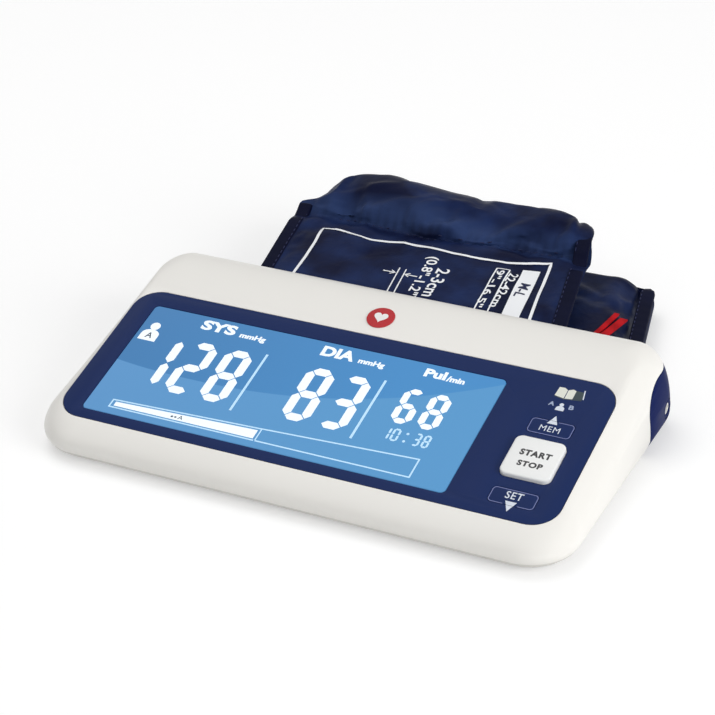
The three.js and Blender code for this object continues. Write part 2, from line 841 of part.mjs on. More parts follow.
// Battery door: a flat lid hooked in at its rear edge, held in front by a springy latch that is
// freed from the plate by two slots and has grooves for the thumb.
function batteryDoor() {
  const top = underside + doorThickness;
  const plate = block(
    boxLeft + seam,
    boxRight - seam,
    boxFront + seam,
    boxRear - seam,
    underside,
    top,
  );
  const hooks = doorTabX.map((x) => block(
    x - doorTab.width / 2,
    x + doorTab.width / 2,
    boxRear - 2 * seam,
    boxRear - seam + doorTab.reach,
    top - doorTab.thickness,
    top,
  ));
  const tongue = latch.width / 2 - latch.slot;
  const lip = block(
    boxMiddle - tongue,
    boxMiddle + tongue,
    boxFront - latch.grip + seam,
    boxFront + 2 * seam,
    underside,
    underside + doorThickness / 2,
  );
  const slots = [-latch.width / 2, tongue].map((start) => block(
    boxMiddle + start,
    boxMiddle + start + latch.slot,
    0,
    boxFront + latch.depth,
    0,
    2 * top,
  ));
  const grooves = [];
  for (let k = 1; k <= grip.count; k += 1) {
    const y = boxFront + k * grip.pitch;
    grooves.push(block(
      boxMiddle - grip.width / 2,
      boxMiddle + grip.width / 2,
      y,
      y + grip.groove,
      0,
      underside + grip.depth,
    ));
  }
  return cut(joined(plate, ...hooks), ...slots, ...grooves).add(lip);
}

addPart('top_shell', topShell(), material.whitePlastic);
addPart('rear_housing', rearHousing(), material.navyPlastic);
addPart('bottom_cover', bottomCover(), material.greyPlastic);
addPart('battery_door', batteryDoor(), material.greyPlastic);

// Display panel: one printed sheet with the display window and three key openings.
function frontPanel() {
  const outline = roundedRectangle(panelWidth, panelHeight, panelCorner, 0, panelMiddle);
  const openings = [
    roundedRectangle(windowWidth, windowHeight, windowCorner, windowX, windowV),
    roundedRectangle(
      startKey.size + 2 * keyGap,
      startKey.size + 2 * keyGap,
      startKey.corner + keyGap,
      keyX,
      startV,
    ),
    roundedRectangle(
      memKey.width + 2 * keyGap,
      memKey.depth + 2 * keyGap,
      memKey.corner + keyGap,
      keyX,
      memV,
    ),
    roundedRectangle(
      setKey.width + 2 * keyGap,
      setKey.depth + 2 * keyGap,
      setKey.corner + keyGap,
      keyX,
      setV,
    ),
  ];
  outline.holes.push(...openings);
  return panelPrism(outline, -panelThickness, 0);
}

addPart('front_panel', frontPanel(), material.navyPanel);

const windowShape = roundedRectangle(
  windowWidth - 2 * seam,
  windowHeight - 2 * seam,
  windowCorner - seam,
  windowX,
  windowV,
);
addPart('display_window', panelPrism(windowShape, -panelThickness, 0), material.clearLens);

// Display glass in two plates: the lower one reaches further to the front, where its contacts
// are. The light guide lies under it.
function glassPlate(front, low, high) {
  const back = windowV + windowHeight / 2 + glassMargin;
  const half = windowWidth / 2 + glassMargin;
  return panelBlock(windowX - half, windowX + half, front, back, low, high);
}

const glassFront = windowV - windowHeight / 2 - glassMargin;
const glassMiddle = glassTop - glassThickness / 2;
addPart(
  'display_glass',
  joined(
    glassPlate(glassFront, glassTop - glassThickness, glassMiddle),
    glassPlate(glassFront + contactLedge, glassMiddle - seam, glassTop),
  ),
  material.displayBlue,
);
addPart(
  'display_backlight',
  glassPlate(glassFront, backlightBottom, backlightTop),
  material.lightGuide,
);

// Keys: a cap that stands in its opening, on a flange that keeps it under the panel. The cap of
// the start key is raised and has a rolled edge; the other two are flush.
function raisedCap(key, v) {
  const edge = keyEdge;
  const flat = key.size - 2 * edge;
  const shape = roundedRectangle(flat, flat, key.corner - edge, keyX, v);
  const geometry = new THREE.ExtrudeGeometry(shape, {
    depth: key.rise - edge - flangeTop,
    bevelEnabled: true,
    bevelThickness: edge,
    bevelSize: edge,
    bevelSegments: 3,
    curveSegments: 6,
  });
  geometry.translate(0, 0, flangeTop);
  const cap = solid(geometry.applyMatrix4(panelFrame));
  const reach = key.size / 2 + keyFlange;
  const trimmed = cap.intersect(panelBlock(
    keyX - reach,
    keyX + reach,
    v - reach,
    v + reach,
    flangeTop - seam,
    key.rise + 1,
  ));
  const flange = roundedRectangle(2 * reach, 2 * reach, key.corner, keyX, v);
  return trimmed.add(panelPrism(flange, flangeBottom, flangeTop));
}

function flushCap(key, v) {
  const cap = roundedRectangle(key.width, key.depth, key.corner, keyX, v);
  const flange = roundedRectangle(
    key.width + 2 * keyFlange,
    key.depth + 2 * keyFlange,
    key.corner,
    keyX,
    v,
  );
  return joined(
    panelPrism(cap, flangeTop - keyFlangeThickness / 2, 0),
    panelPrism(flange, flangeBottom, flangeTop),
  );
}

addPart('start_stop_button', raisedCap(startKey, startV), material.keyWhite);
addPart('mem_key', flushCap(memKey, memV), material.navyPanel);
addPart('set_key', flushCap(setKey, setV), material.navyPanel);

// Main board under the lower half of the display and under the keys, on the pins of four posts.
function mainBoard() {
  const shape = new THREE.Shape();
  shape.moveTo(boardLeft, boardFront);
  shape.lineTo(boardRight, boardFront);
  shape.lineTo(boardRight, boardTabRear);
  shape.lineTo(boardTabLeft, boardTabRear);
  shape.lineTo(boardTabLeft, boardRear);
  shape.lineTo(boardLeft, boardRear);
  const holes = boardHoles.map(([x, v]) =>
    panelRod(boardHole.radius, boardBottom - seam, boardTop + seam, x, v, 16));
  return cut(panelPrism(shape, boardBottom, boardTop), ...holes);
}

addPart('main_board', mainBoard(), material.boardGreen);

// A tact switch under each key: a square body with a round stem, clear of the flange by more
// than the travel of the key.
function tactSwitch(v, travel) {
  const half = switchSize / 2;
  const stemTop = flangeBottom - travel - switchClearance;
  const base = boardTop + seam;
  const shoulder = stemTop - switchStemHeight;
  return joined(
    panelBlock(keyX - half, keyX + half, v - half, v + half, base, shoulder),
    panelRod(switchStem / 2, base, stemTop, keyX, v, 14),
  );
}

addPart('start_switch', tactSwitch(startV, startKey.travel), material.blackPlastic);
addPart('mem_switch', tactSwitch(memV, memKey.travel), material.blackPlastic);
addPart('set_switch', tactSwitch(setV, setKey.travel), material.blackPlastic);

// Pressure sensor with its barb to the rear, and the buzzer, both on the lower face of the board.
function pressureSensor() {
  const front = sensorV - sensorSize.v / 2;
  const rear = sensorV + sensorSize.v / 2;
  const half = sensorSize.x / 2;
  const barb = new THREE.CylinderGeometry(barbRadius, barbRadius, 2 * barbLength, 12);
  barb.translate(sensorX, rear, sensorN);
  return joined(
    panelBlock(
      sensorX - half,
      sensorX + half,
      front,
      rear,
      boardBottom - seam - sensorSize.n,
      boardBottom - seam,
    ),
    solid(barb.applyMatrix4(panelFrame)),
  );
}

addPart('pressure_sensor', pressureSensor(), material.blackPlastic);

const buzzerTop = boardBottom - seam;
addPart(
  'buzzer',
  joined(
    panelRod(buzzerRadius, buzzerTop - buzzerHeight, buzzerTop, buzzerX, buzzerV, 24),
    panelRod(
      buzzerNeck.radius,
      buzzerTop - buzzerHeight - buzzerNeck.height,
      buzzerTop,
      buzzerX,
      buzzerV,
    ),
  ),
  material.blackPlastic,
);

// Air pump: the motor lies in front, with the boss of its bearing. Behind it is the pump head,
// with its cap and a barb to the left.
function pumpMotor() {
  const rear = motorFront + motorLength;
  const profile = [
    [0, motorFront - motorBoss.length],
    [motorBoss.radius, motorFront - motorBoss.length],
    [motorBoss.radius, motorFront],
    [pumpRadius - pumpEdge, motorFront],
    [pumpRadius, motorFront + pumpEdge],
    [pumpRadius, rear],
    [0, rear],
  ];
  return solid(turned(profile, 32).rotateX(-Math.PI / 2).translate(pumpX, 0, pumpZ));
}

function pumpHead() {
  const capEnd = headEnd + pumpCap.length;
  const profile = [
    [0, headFront],
    [pumpRadius, headFront],
    [pumpRadius, headEnd - pumpEdge],
    [pumpRadius - pumpEdge, headEnd],
    [pumpCap.radius, headEnd],
    [pumpCap.radius - pumpEdge, capEnd],
    [0, capEnd],
  ];
  const body = turned(profile, 32).rotateX(-Math.PI / 2).translate(pumpX, 0, pumpZ);
  return joined(
    solid(body),
    rod('x', barbRadius, outletX, pumpX, outletY, pumpZ, 12),
  );
}

addPart('pump_motor', pumpMotor(), material.steel);
addPart('pump_head', pumpHead(), material.whitePlastic);

// Release valve inside its fence, with a collar in front and a barb to the rear.
const valveBase = floorTop + seam;
addPart(
  'release_valve',
  joined(
    block(
      valveX - valveSize.x / 2,
      valveX + valveSize.x / 2,
      valveRear - valveSize.y,
      valveRear,
      valveBase,
      valveBase + valveSize.z,
    ),
    rod(
      'y',
      valveCollar.radius,
      valveRear - valveSize.y - valveCollar.length,
      valveRear,
      valveX,
      socketZ - seam,
    ),
    rod('y', barbRadius, valveRear - seam, valveRear + barbLength, valveX, socketZ, 12),
  ),
  material.steel,
);

// Air manifold: a small block whose four barbs take the tubes of pump, sensor, valve and socket.
addPart(
  'air_manifold',
  joined(
    block(
      manifoldX - manifoldSize.x / 2,
      manifoldX + manifoldSize.x / 2,
      manifoldY - manifoldSize.y / 2,
      manifoldY + manifoldSize.y / 2,
      socketZ - manifoldSize.z / 2,
      socketZ + manifoldSize.z / 2,
    ),
    rod('x', barbRadius, manifoldLeft - barbLength, manifoldRight + barbLength, manifoldY, socketZ, 12),
    ...[sensorBarbX, valveBarbX].map((x) =>
      rod('y', barbRadius, manifoldFront - barbLength, manifoldY, x, socketZ, 12)),
  ),
  material.greyPlastic,
);

// Air socket in the left side: a round port whose barb turns forward to the tube.
addPart(
  'air_socket',
  cut(
    joined(
      rod('x', airPort.outer, -portFace, -portBack, socketY, socketZ, 28),
      rod('y', barbRadius, portFront - barbLength, socketY, -portX, socketZ, 12),
    ),
    rod('x', airPort.bore, -wide, -portFace + airPort.depth, socketY, socketZ, 24),
  ),
  material.greyPlastic,
);

// Power socket in the right side, with its centre pin.
const powerFloor = portFace - powerPort.depth;
addPart(
  'power_socket',
  joined(
    cut(
      rod('x', powerPort.outer, portBack, portFace, powerY, socketZ, 24),
      rod('x', powerPort.bore, powerFloor, wide, powerY, socketZ, 20),
    ),
    rod('x', powerPort.pin, powerFloor - seam, powerFloor + powerPort.pinLength, powerY, socketZ, 12),
  ),
  material.blackPlastic,
);

// Air tubes. Each starts and ends at the face its barb stands on, with a blind bore that takes the
// barb, and follows the points between.
function airTube(start, between, end) {
  const straight = (place) =>
    place.at.clone().addScaledVector(place.out, barbLength + tubeRadius);
  const route = new THREE.CatmullRomCurve3([
    start.at.clone().addScaledVector(start.out, seam),
    straight(start),
    ...between,
    straight(end),
    end.at.clone().addScaledVector(end.out, seam),
  ]);
  const section = new THREE.Shape().absarc(0, 0, tubeRadius, 0, 2 * Math.PI);
  const tube = new THREE.ExtrudeGeometry(section, {
    steps: Math.max(tubeLeastSteps, Math.round(route.getLength() / tubeStep)),
    curveSegments: 4,
    extrudePath: route,
  });
  const bores = [start, end].map((place) => {
    const reach = barbLength + seam;
    const bore = new THREE.CylinderGeometry(barbRadius + seam, barbRadius + seam, 2 * reach, 12);
    bore.applyQuaternion(new THREE.Quaternion().setFromUnitVectors(upright, place.out));
    return solid(bore.translate(...place.at.toArray()));
  });
  return cut(solid(tube), ...bores);
}

const upright = new THREE.Vector3(0, 1, 0);
const toFront = new THREE.Vector3(0, -1, 0);
const toRight = new THREE.Vector3(1, 0, 0);
const toLeft = new THREE.Vector3(-1, 0, 0);
const upSlope = new THREE.Vector3(0, Math.cos(topTilt), Math.sin(topTilt));

const sensorOutlet = new THREE.Vector3(sensorX, sensorV + sensorSize.v / 2, sensorN);
const corridorTurn = corridorY - manifoldY + 2 * tubeRadius;
addPart(
  'air_tube',
  airTube(
    { at: new THREE.Vector3(manifoldLeft, manifoldY, socketZ), out: toLeft },
    [
      new THREE.Vector3(manifoldLeft - barbLength - corridorTurn, corridorY, socketZ),
      new THREE.Vector3(0, corridorY, socketZ),
      new THREE.Vector3(-portX + 2 * socketTurn, corridorY, socketZ),
      new THREE.Vector3(-portX + socketTurn, corridorY, socketZ),
    ],
    { at: new THREE.Vector3(-portX, portFront, socketZ), out: toFront },
  ),
  material.silicone,
);
addPart(
  'pump_tube',
  airTube(
    { at: new THREE.Vector3(pumpX - pumpRadius, outletY, pumpZ), out: toLeft },
    [],
    { at: new THREE.Vector3(manifoldRight, manifoldY, socketZ), out: toRight },
  ),
  material.silicone,
);
addPart(
  'valve_tube',
  airTube(
    { at: new THREE.Vector3(valveX, valveRear, socketZ), out: upright },
    [],
    { at: new THREE.Vector3(valveBarbX, manifoldFront, socketZ), out: toFront },
  ),
  material.silicone,
);
addPart(
  'sensor_tube',
  airTube(
    { at: sensorOutlet.applyMatrix4(panelFrame), out: upSlope },
    [],
    { at: new THREE.Vector3(sensorBarbX, manifoldFront, socketZ), out: toFront },
  ),
  material.silicone,
);

// Four cells in two rows, the rows turned against each other.
function cell(x, y, turned) {
  const profile = [
    new THREE.Vector2(0, 0),
    new THREE.Vector2(cellRadius, 0),
    new THREE.Vector2(cellRadius, cellLength - nubLength),
    new THREE.Vector2(nubRadius, cellLength - nubLength),
    new THREE.Vector2(nubRadius, cellLength),
    new THREE.Vector2(0, cellLength),
  ];
  const geometry = new THREE.LatheGeometry(profile, 20);
  geometry.translate(0, -cellLength / 2, 0);
  geometry.rotateZ(turned ? Math.PI / 2 : -Math.PI / 2);
  return solid(geometry.translate(x, y, cellZ));
}

const plateRoom = contactThickness + cellGap;
const rowStart = [boxRight - plateRoom - 2 * cellLength - cellGap, boxLeft + plateRoom];
for (let row = 0; row < 2; row += 1) {
  for (let place = 0; place < 2; place += 1) {
    const x = rowStart[row] + cellLength / 2 + place * (cellLength + cellGap);
    addPart(`battery_${2 * row + place + 1}`, cell(x, rowY[row], row === 1), material.cellWrap);
  }
}

// Battery contacts: a plate at the positive end of each row and a cone spring at the other.
function contactPlate(x, y) {
  const half = contactWidth / 2;
  return block(x, x + contactThickness, y - half, y + half, cellZ - half, cellZ + half);
}

class ConeHelix extends THREE.Curve {
  constructor(length) {
    super();
    this.length = length;
  }

  getPoint(t, target = new THREE.Vector3()) {
    const angle = t * springTurns * 2 * Math.PI;
    const radius = springRadius + (springTip - springRadius) * t;
    return target.set(this.length * t, radius * Math.cos(angle), radius * Math.sin(angle));
  }
}

function contactSpring(x, y, direction) {
  const length = boxEndRoom - plateRoom - contactThickness - springWire - cellGap;
  const section = new THREE.Shape().absarc(0, 0, springWire / 2, 0, 2 * Math.PI);
  const coil = new THREE.ExtrudeGeometry(section, {
    steps: 10 * springTurns,
    curveSegments: 3,
    extrudePath: new ConeHelix(length),
  });
  coil.translate(contactThickness, 0, 0);
  if (direction < 0) {
    coil.rotateY(Math.PI);
  }
  const plateX = direction < 0 ? x - contactThickness : x;
  return contactPlate(plateX, y).add(solid(coil.translate(x, y, cellZ)));
}

addPart('contact_spring_1', contactSpring(boxLeft + seam, rowY[0], 1), material.steel);
addPart('contact_spring_2', contactSpring(boxRight - seam, rowY[1], -1), material.steel);
addPart(
  'contact_plate_1',
  contactPlate(boxRight - contactThickness - cellGap / 2, rowY[0]),
  material.steel,
);
addPart('contact_plate_2', contactPlate(boxLeft + cellGap / 2, rowY[1]), material.steel);

// Screws up through the bottom cover into the bosses, each with a cross in its head.
function screw(x, y) {
  const headTop = underside + screwHeadHeight - seam;
  const arm = (halfX, halfY) => block(
    x - halfX,
    x + halfX,
    y - halfY,
    y + halfY,
    0,
    underside + screwCross.depth,
  );
  return cut(
    joined(
      rod('z', screwHeadRadius, underside, headTop, x, y),
      rod('z', screwRadius, underside + screwCross.depth, headTop + screwLength, x, y, 12),
    ),
    arm(screwCross.length / 2, screwCross.width / 2),
    arm(screwCross.width / 2, screwCross.length / 2),
  );
}

bossPlaces.forEach(([x, y], k) => {
  addPart(`screw_${k + 1}`, screw(x, y), material.steel);
});

// Rubber feet: turned pads with a rounded lower edge, let into the underside.
function foot(x, y) {
  const top = underside + footRecess - seam;
  const rim = [20, 50, 90].map((degrees) => [
    footRadius - footEdge + footEdge * Math.sin(degrees * DEGREE),
    footEdge - footEdge * Math.cos(degrees * DEGREE),
  ]);
  const profile = [[0, 0], [footRadius - footEdge, 0], ...rim, [footRadius, top], [0, top]];
  return solid(turned(profile, 28).translate(x, y, 0));
}

footPlaces.forEach(([x, y], k) => {
  addPart(`foot_${k + 1}`, foot(x, y), material.rubber);
});

// Arm cuff. Each part is a run of cross sections from its end in the bay out to the rear: a
// padded slab with a crown and drawn-in edges.
const cuffSteps = 26;
const padRound = { side: 0.55, crown: 0.42 };

function cuffSection(y, left, right, low, high) {
  const ring = [];
  const middleX = (left + right) / 2;
  const middleZ = (low + high) / 2;
  const halfX = (right - left) / 2;
  const halfZ = (high - low) / 2;
  for (let k = 0; k < cuffSteps; k += 1) {
    const angle = (2 * Math.PI * k) / cuffSteps;
    const across = Math.sin(angle);
    const up = Math.cos(angle);
    const x = middleX + halfX * Math.sign(across) * Math.abs(across) ** padRound.side;
    const z = middleZ + halfZ * Math.sign(up) * Math.abs(up) ** padRound.crown;
    ring.push(new THREE.Vector3(x, y, z));
  }
  return ring;
}

function tailTopAt(y) {
  return tailUnderside + tailThickness + tailRise * (y - cuffInnerEnd);
}

function tailRightAt(y) {
  return tailRight - tailTaper * Math.max(y - cuffTaperFrom, 0);
}

// The height of the tail's crowned upper skin at one place.
function tailSkinAt(x, y) {
  const half = (tailRight - tailLeft) / 2;
  const across = (Math.abs(x - tailRightAt(y) + half) / half) ** (1 / padRound.side);
  const rise = Math.sqrt(1 - across ** 2) ** padRound.crown;
  return tailUnderside + ((tailTopAt(y) - tailUnderside) / 2) * (1 + rise);
}

function upperCuff() {
  const rings = [];
  const bodySteps = 9;
  const topAt = (y) => cuffTopAtMouth + Math.tan(cuffSlope) * (y - bodyDepth);
  const leftAt = (y) => cuffLeft - cuffFlare * Math.max(y - cuffTaperFrom, 0);
  const rightAt = (y) => cuffRight - cuffTaper * Math.max(y - cuffTaperFrom, 0);
  const undersideAt = (y) => Math.max(topAt(y) - cuffThickness, tailTopAt(y) + seam);
  const endRound = 1.2;
  rings.push(cuffSection(
    cuffInnerEnd,
    leftAt(cuffInnerEnd) + endRound,
    rightAt(cuffInnerEnd) - endRound,
    undersideAt(cuffInnerEnd) + endRound,
    topAt(cuffInnerEnd) - endRound,
  ));
  for (let k = 0; k <= bodySteps; k += 1) {
    const y = cuffInnerEnd + endRound + (cuffSeamY - cuffInnerEnd - endRound) * (k / bodySteps);
    const dip = cuffSeamDip * Math.max(0, 1 - (cuffSeamY - y) / cuffSeamRun) ** 2;
    rings.push(cuffSection(y, leftAt(y), rightAt(y), undersideAt(y) + dip / 2, topAt(y) - dip));
  }
  const foldSteps = 10;
  const middleY = cuffSeamY + foldLength / 2;
  const middleZ = foldPeak - foldThickness / 2;
  for (let k = 1; k <= foldSteps; k += 1) {
    const angle = Math.PI * (0.13 + 0.84 * (k / foldSteps));
    const y = middleY - (foldLength / 2) * Math.cos(angle);
    const half = (foldThickness / 2) * Math.sin(angle);
    const drawn = 3 * (1 - Math.sin(angle)) ** 2;
    rings.push(cuffSection(
      y,
      leftAt(y) + drawn,
      rightAt(y) - drawn,
      middleZ - half,
      middleZ + half,
    ));
  }
  return loft(rings);
}

function lowerCuff() {
  const rings = [];
  const steps = 10;
  const endRound = [[0, 2.4], [0.8, 1], [2.4, 0]];
  const ring = (y, tuck) => {
    rings.push(cuffSection(
      y,
      tailRightAt(y) - (tailRight - tailLeft) + tuck,
      tailRightAt(y) - tuck,
      tailUnderside + tuck,
      tailTopAt(y) - tuck,
    ));
  };
  for (const [along, tuck] of endRound) {
    ring(cuffInnerEnd + along, tuck);
  }
  const reach = endRound[endRound.length - 1][0];
  for (let k = 1; k < steps; k += 1) {
    ring(cuffInnerEnd + reach + (tailEnd - cuffInnerEnd - 2 * reach) * (k / steps), 0);
  }
  for (const [along, tuck] of [...endRound].reverse()) {
    ring(tailEnd - along, tuck);
  }
  return loft(rings);
}

addPart('cuff_upper', upperCuff(), material.navyNylon);
addPart('cuff_lower', lowerCuff(), material.navyNylon);

// Pull tab: a short flat loop of red webbing that lies on the crowned skin of the tail.
function pullTab() {
  const steps = 8;
  const tabX = tailRight - tabInset;
  const tabY = bodyDepth + tabReach;
  const along = new THREE.Vector3(-Math.sin(tabTurn), Math.cos(tabTurn), 0);
  const across = new THREE.Vector3(Math.cos(tabTurn), Math.sin(tabTurn), 0);
  const rings = [];
  for (let k = 0; k <= steps; k += 1) {
    const edge = (share, lift) => {
      const place = new THREE.Vector3(tabX, tabY, 0)
        .addScaledVector(along, tabSize.length * (k / steps - 0.5))
        .addScaledVector(across, tabSize.width * share);
      return place.setZ(tailSkinAt(place.x, place.y) + seam + lift);
    };
    const thickness = tabSize.thickness;
    rings.push([
      edge(-0.5, thickness),
      edge(0, thickness),
      edge(0.5, thickness),
      edge(0.5, 0),
      edge(0, 0),
      edge(-0.5, 0),
    ]);
  }
  return loft(rings);
}

addPart('cuff_tab', pullTab(), material.redWebbing);

// The origin is the middle of the whole on the table.
const extent = new THREE.Box3().setFromObject(monitor);
const middle = extent.getCenter(new THREE.Vector3());
monitor.position.set(-middle.x, -middle.y, -extent.min.z);
monitor.updateMatrixWorld(true);

export default monitor;
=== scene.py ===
import math
import bmesh
import bpy
from mathutils import Matrix, Vector
from mathutils.bvhtree import BVHTree


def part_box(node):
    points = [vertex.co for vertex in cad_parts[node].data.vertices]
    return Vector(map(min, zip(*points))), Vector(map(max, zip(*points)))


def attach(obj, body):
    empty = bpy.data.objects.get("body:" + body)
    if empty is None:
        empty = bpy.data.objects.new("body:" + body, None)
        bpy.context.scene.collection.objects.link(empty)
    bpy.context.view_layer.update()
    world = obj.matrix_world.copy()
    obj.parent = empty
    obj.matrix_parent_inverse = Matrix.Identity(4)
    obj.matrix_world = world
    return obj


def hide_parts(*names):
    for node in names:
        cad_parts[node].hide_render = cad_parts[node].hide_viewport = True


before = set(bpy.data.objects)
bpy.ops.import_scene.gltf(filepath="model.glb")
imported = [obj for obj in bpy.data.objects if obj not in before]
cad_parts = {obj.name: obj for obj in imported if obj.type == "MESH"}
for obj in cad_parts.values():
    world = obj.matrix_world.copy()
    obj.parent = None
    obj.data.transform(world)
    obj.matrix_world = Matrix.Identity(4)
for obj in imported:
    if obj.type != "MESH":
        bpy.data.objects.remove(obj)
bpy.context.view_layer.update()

# Camera, floor and light. The camera stands to the right of the monitor and above it, as in the
# photograph. The floor is a sheet of white studio paper that keeps the soft shadow; the light is
# a wide softbox overhead, a smaller one to the right and an even white surround.
MM = 0.001
CAMERA_PLACE = (0.31478, -0.63861, 0.41899)
CAMERA_RIGHT = Vector((0.89545, 0.44373, -0.0357))
CAMERA_UP = Vector((-0.19276, 0.45877, 0.86739))
PAPER_GLOW = 1.6
PAPER_GLOW_SHARE = 0.26
SURROUND = 0.42
LAMPS_AIM = Vector((0, 0, 0.02))
# Each softbox has a name, a place, a side in metres, a power, and whether gloss mirrors it.
SOFTBOXES = (
    ("softbox_above", (-0.45, 0.30, 1.35), 1.0, 6.6, False),
    ("softbox_right", (1.25, -0.32, 0.60), 0.9, 11.0, False),
    ("softbox_front", (-0.45, -0.60, 0.95), 0.6, 0.6, True))


def linear(code):
    """An sRGB hex colour as the linear colour that a shader takes."""
    channels = [int(code[k:k + 2], 16) / 255 for k in (1, 3, 5)]
    return (*[c / 12.92 if c <= 0.04045 else ((c + 0.055) / 1.055) ** 2.4 for c in channels], 1)


def feed(tree, node, inputs):
    """Gives each named input of a node its value, or links it to a socket."""
    for name, value in inputs.items():
        if isinstance(value, bpy.types.NodeSocket):
            tree.links.new(value, node.inputs[name])
        else:
            node.inputs[name].default_value = value


def add(tree, kind, inputs=None, **settings):
    """Adds a node with its settings and feeds its inputs."""
    made = tree.nodes.new(kind)
    for name, value in settings.items():
        setattr(made, name, value)
    feed(tree, made, inputs or {})
    return made


def linked(name, data):
    """A new object in the scene."""
    made = bpy.data.objects.new(name, data)
    bpy.context.scene.collection.objects.link(made)
    return made


def primitive(operator, **settings):
    """One of Blender's own shapes, added while nothing else is selected."""
    bpy.ops.object.select_all(action="DESELECT")
    operator(**settings)
    return bpy.context.object


camera = linked("camera", bpy.data.cameras.new("camera"))
camera.data.lens = 109.1
camera.data.sensor_width = 36
camera.data.clip_start = 0.05
sight = Matrix((CAMERA_RIGHT, CAMERA_UP, CAMERA_RIGHT.cross(CAMERA_UP))).transposed().to_4x4()
camera.matrix_world = Matrix.Translation(CAMERA_PLACE) @ sight
bpy.context.scene.camera = camera
bpy.context.scene.view_settings.view_transform = "Standard"

# Studio paper is matt; what the lens and a mirror see of it is lifted to an even white.
floor = primitive(bpy.ops.mesh.primitive_plane_add, size=8, location=(0, 0, -0.1 * MM))
floor.name = "floor"
paper = bpy.data.materials.new("white_studio_paper")
paper.use_nodes = True
tree = paper.node_tree
tree.nodes.clear()
rays = add(tree, "ShaderNodeLightPath").outputs
seen = rays["Is Camera Ray"]
for kind in ("Is Glossy Ray", "Is Transmission Ray"):
    seen = add(tree, "ShaderNodeMath", {0: seen, 1: rays[kind]}, operation="ADD", use_clamp=True).outputs[0]
share = add(tree, "ShaderNodeMath", {0: seen, 1: PAPER_GLOW_SHARE}, operation="MULTIPLY")
matt = add(tree, "ShaderNodeBsdfDiffuse", {"Color": linear("#F2F2F2")})
glow = add(tree, "ShaderNodeEmission", {"Color": linear("#FFFFFF"), "Strength": PAPER_GLOW})
mixed = add(tree, "ShaderNodeMixShader", {"Fac": share.outputs[0], 1: matt.outputs[0], 2: glow.outputs[0]})
add(tree, "ShaderNodeOutputMaterial", {"Surface": mixed.outputs[0]})
floor.data.materials.append(paper)

world = bpy.data.worlds.new("studio")
bpy.context.scene.world = world
world.use_nodes = True
tree = world.node_tree
tree.nodes.clear()
rays = add(tree, "ShaderNodeLightPath").outputs
around = add(tree, "ShaderNodeBackground", {"Color": linear("#FFFFFF"), "Strength": SURROUND})
behind = add(tree, "ShaderNodeBackground", {"Color": linear("#FFFFFF"), "Strength": 1.0})
mixed = add(tree, "ShaderNodeMixShader", {
    "Fac": rays["Is Camera Ray"], 1: around.outputs[0], 2: behind.outputs[0]})
add(tree, "ShaderNodeOutputWorld", {"Surface": mixed.outputs[0]})

for name, place, side, power, mirrored in SOFTBOXES:
    softbox = linked(name, bpy.data.lights.new(name, "AREA"))
    softbox.data.shape = "SQUARE"
    softbox.data.size = side
    softbox.data.energy = power
    softbox.location = place
    softbox.rotation_euler = (LAMPS_AIM - Vector(place)).to_track_quat("-Z", "Y").to_euler()
    softbox.visible_glossy = mirrored

# White top shell: nose, sides and crown in one moulding, with a shallow recess for the display
# panel and an opening under it. Injection-moulded white ABS; each level of its form is a rounded
# rectangle that rolls in over the nose, the sides and the high crown, so the skin is lofted.
TILT = math.radians(14.3)
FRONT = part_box("top_shell")[0].y
BODY_WIDTH = 209.4 * MM
BODY_DEPTH = 116.2 * MM
UNDERSIDE = 1 * MM
NOSE_TOP = 12.5 * MM
WALL = 2.2 * MM
SEAM = 0.3 * MM
SHELL_FOOT = 4.15 * MM
CORNERS = {"front": 18.6 * MM, "rear": 12 * MM, "top_front": 11 * MM, "top_rear": 6.8 * MM}
SIDE_ROLL = {"run": 9 * MM, "rise": 13.8 * MM, "power": 2}
REAR_ROLL = {"run": 32.7 * MM, "rise": 32.3 * MM, "power": 2.7}
FRONT_ROLL = {"run": 10.4 * MM, "rise": 6 * MM, "power": 2.1}
UNDER_ROLL = {"run": 4.8 * MM, "rise": 7.2 * MM, "least": 6 * MM, "power": 1.75}
PANEL_WIDTH = 194.4 * MM
PANEL_HEIGHT = 69.4 * MM
PANEL_CORNER = 10 * MM
PANEL_START = 9.5 * MM
PANEL_THICKNESS = 1.5 * MM
PANEL_LEDGE = 1.6 * MM
PANEL_OPENING = 8 * MM
REAR_JOIN = {"y": 85.41 * MM, "top": 26.3 * MM, "run": 15 * MM, "drop": 11 * MM}
SMOOTH_BELOW = math.radians(30)
# A cutter reaches well past what it cuts, up to these lengths in metres.
FAR, PAST = 0.3, 0.06

# The frame of the sloping panel: x to the right, y up the slope from the front edge, z outwards.
panel_frame = Matrix.Translation((0, FRONT, NOSE_TOP)) @ Matrix.Rotation(TILT, 4, "X")
level_frame = Matrix.Translation((0, FRONT, 0))


def select_only(piece):
    bpy.ops.object.select_all(action="DESELECT")
    piece.select_set(True)
    bpy.context.view_layer.objects.active = piece


def open_all(piece):
    """Opens a piece in edit mode with all of it selected."""
    select_only(piece)
    bpy.ops.object.mode_set(mode="EDIT")
    bpy.ops.mesh.select_all(action="SELECT")


def bevel_edges(piece, wanted, width, steps):
    """Rounds the edges for which wanted(start, end) is true."""
    bpy.ops.object.mode_set(mode="EDIT")
    bpy.ops.mesh.select_mode(type="EDGE")
    bpy.ops.mesh.select_all(action="DESELECT")
    mesh = bmesh.from_edit_mesh(piece.data)
    for edge in mesh.edges:
        edge.select_set(wanted(edge.verts[0].co, edge.verts[1].co))
    bmesh.update_edit_mesh(piece.data)
    bpy.ops.mesh.bevel(offset=width, segments=steps, affect="EDGES")
    bpy.ops.object.mode_set(mode="OBJECT")


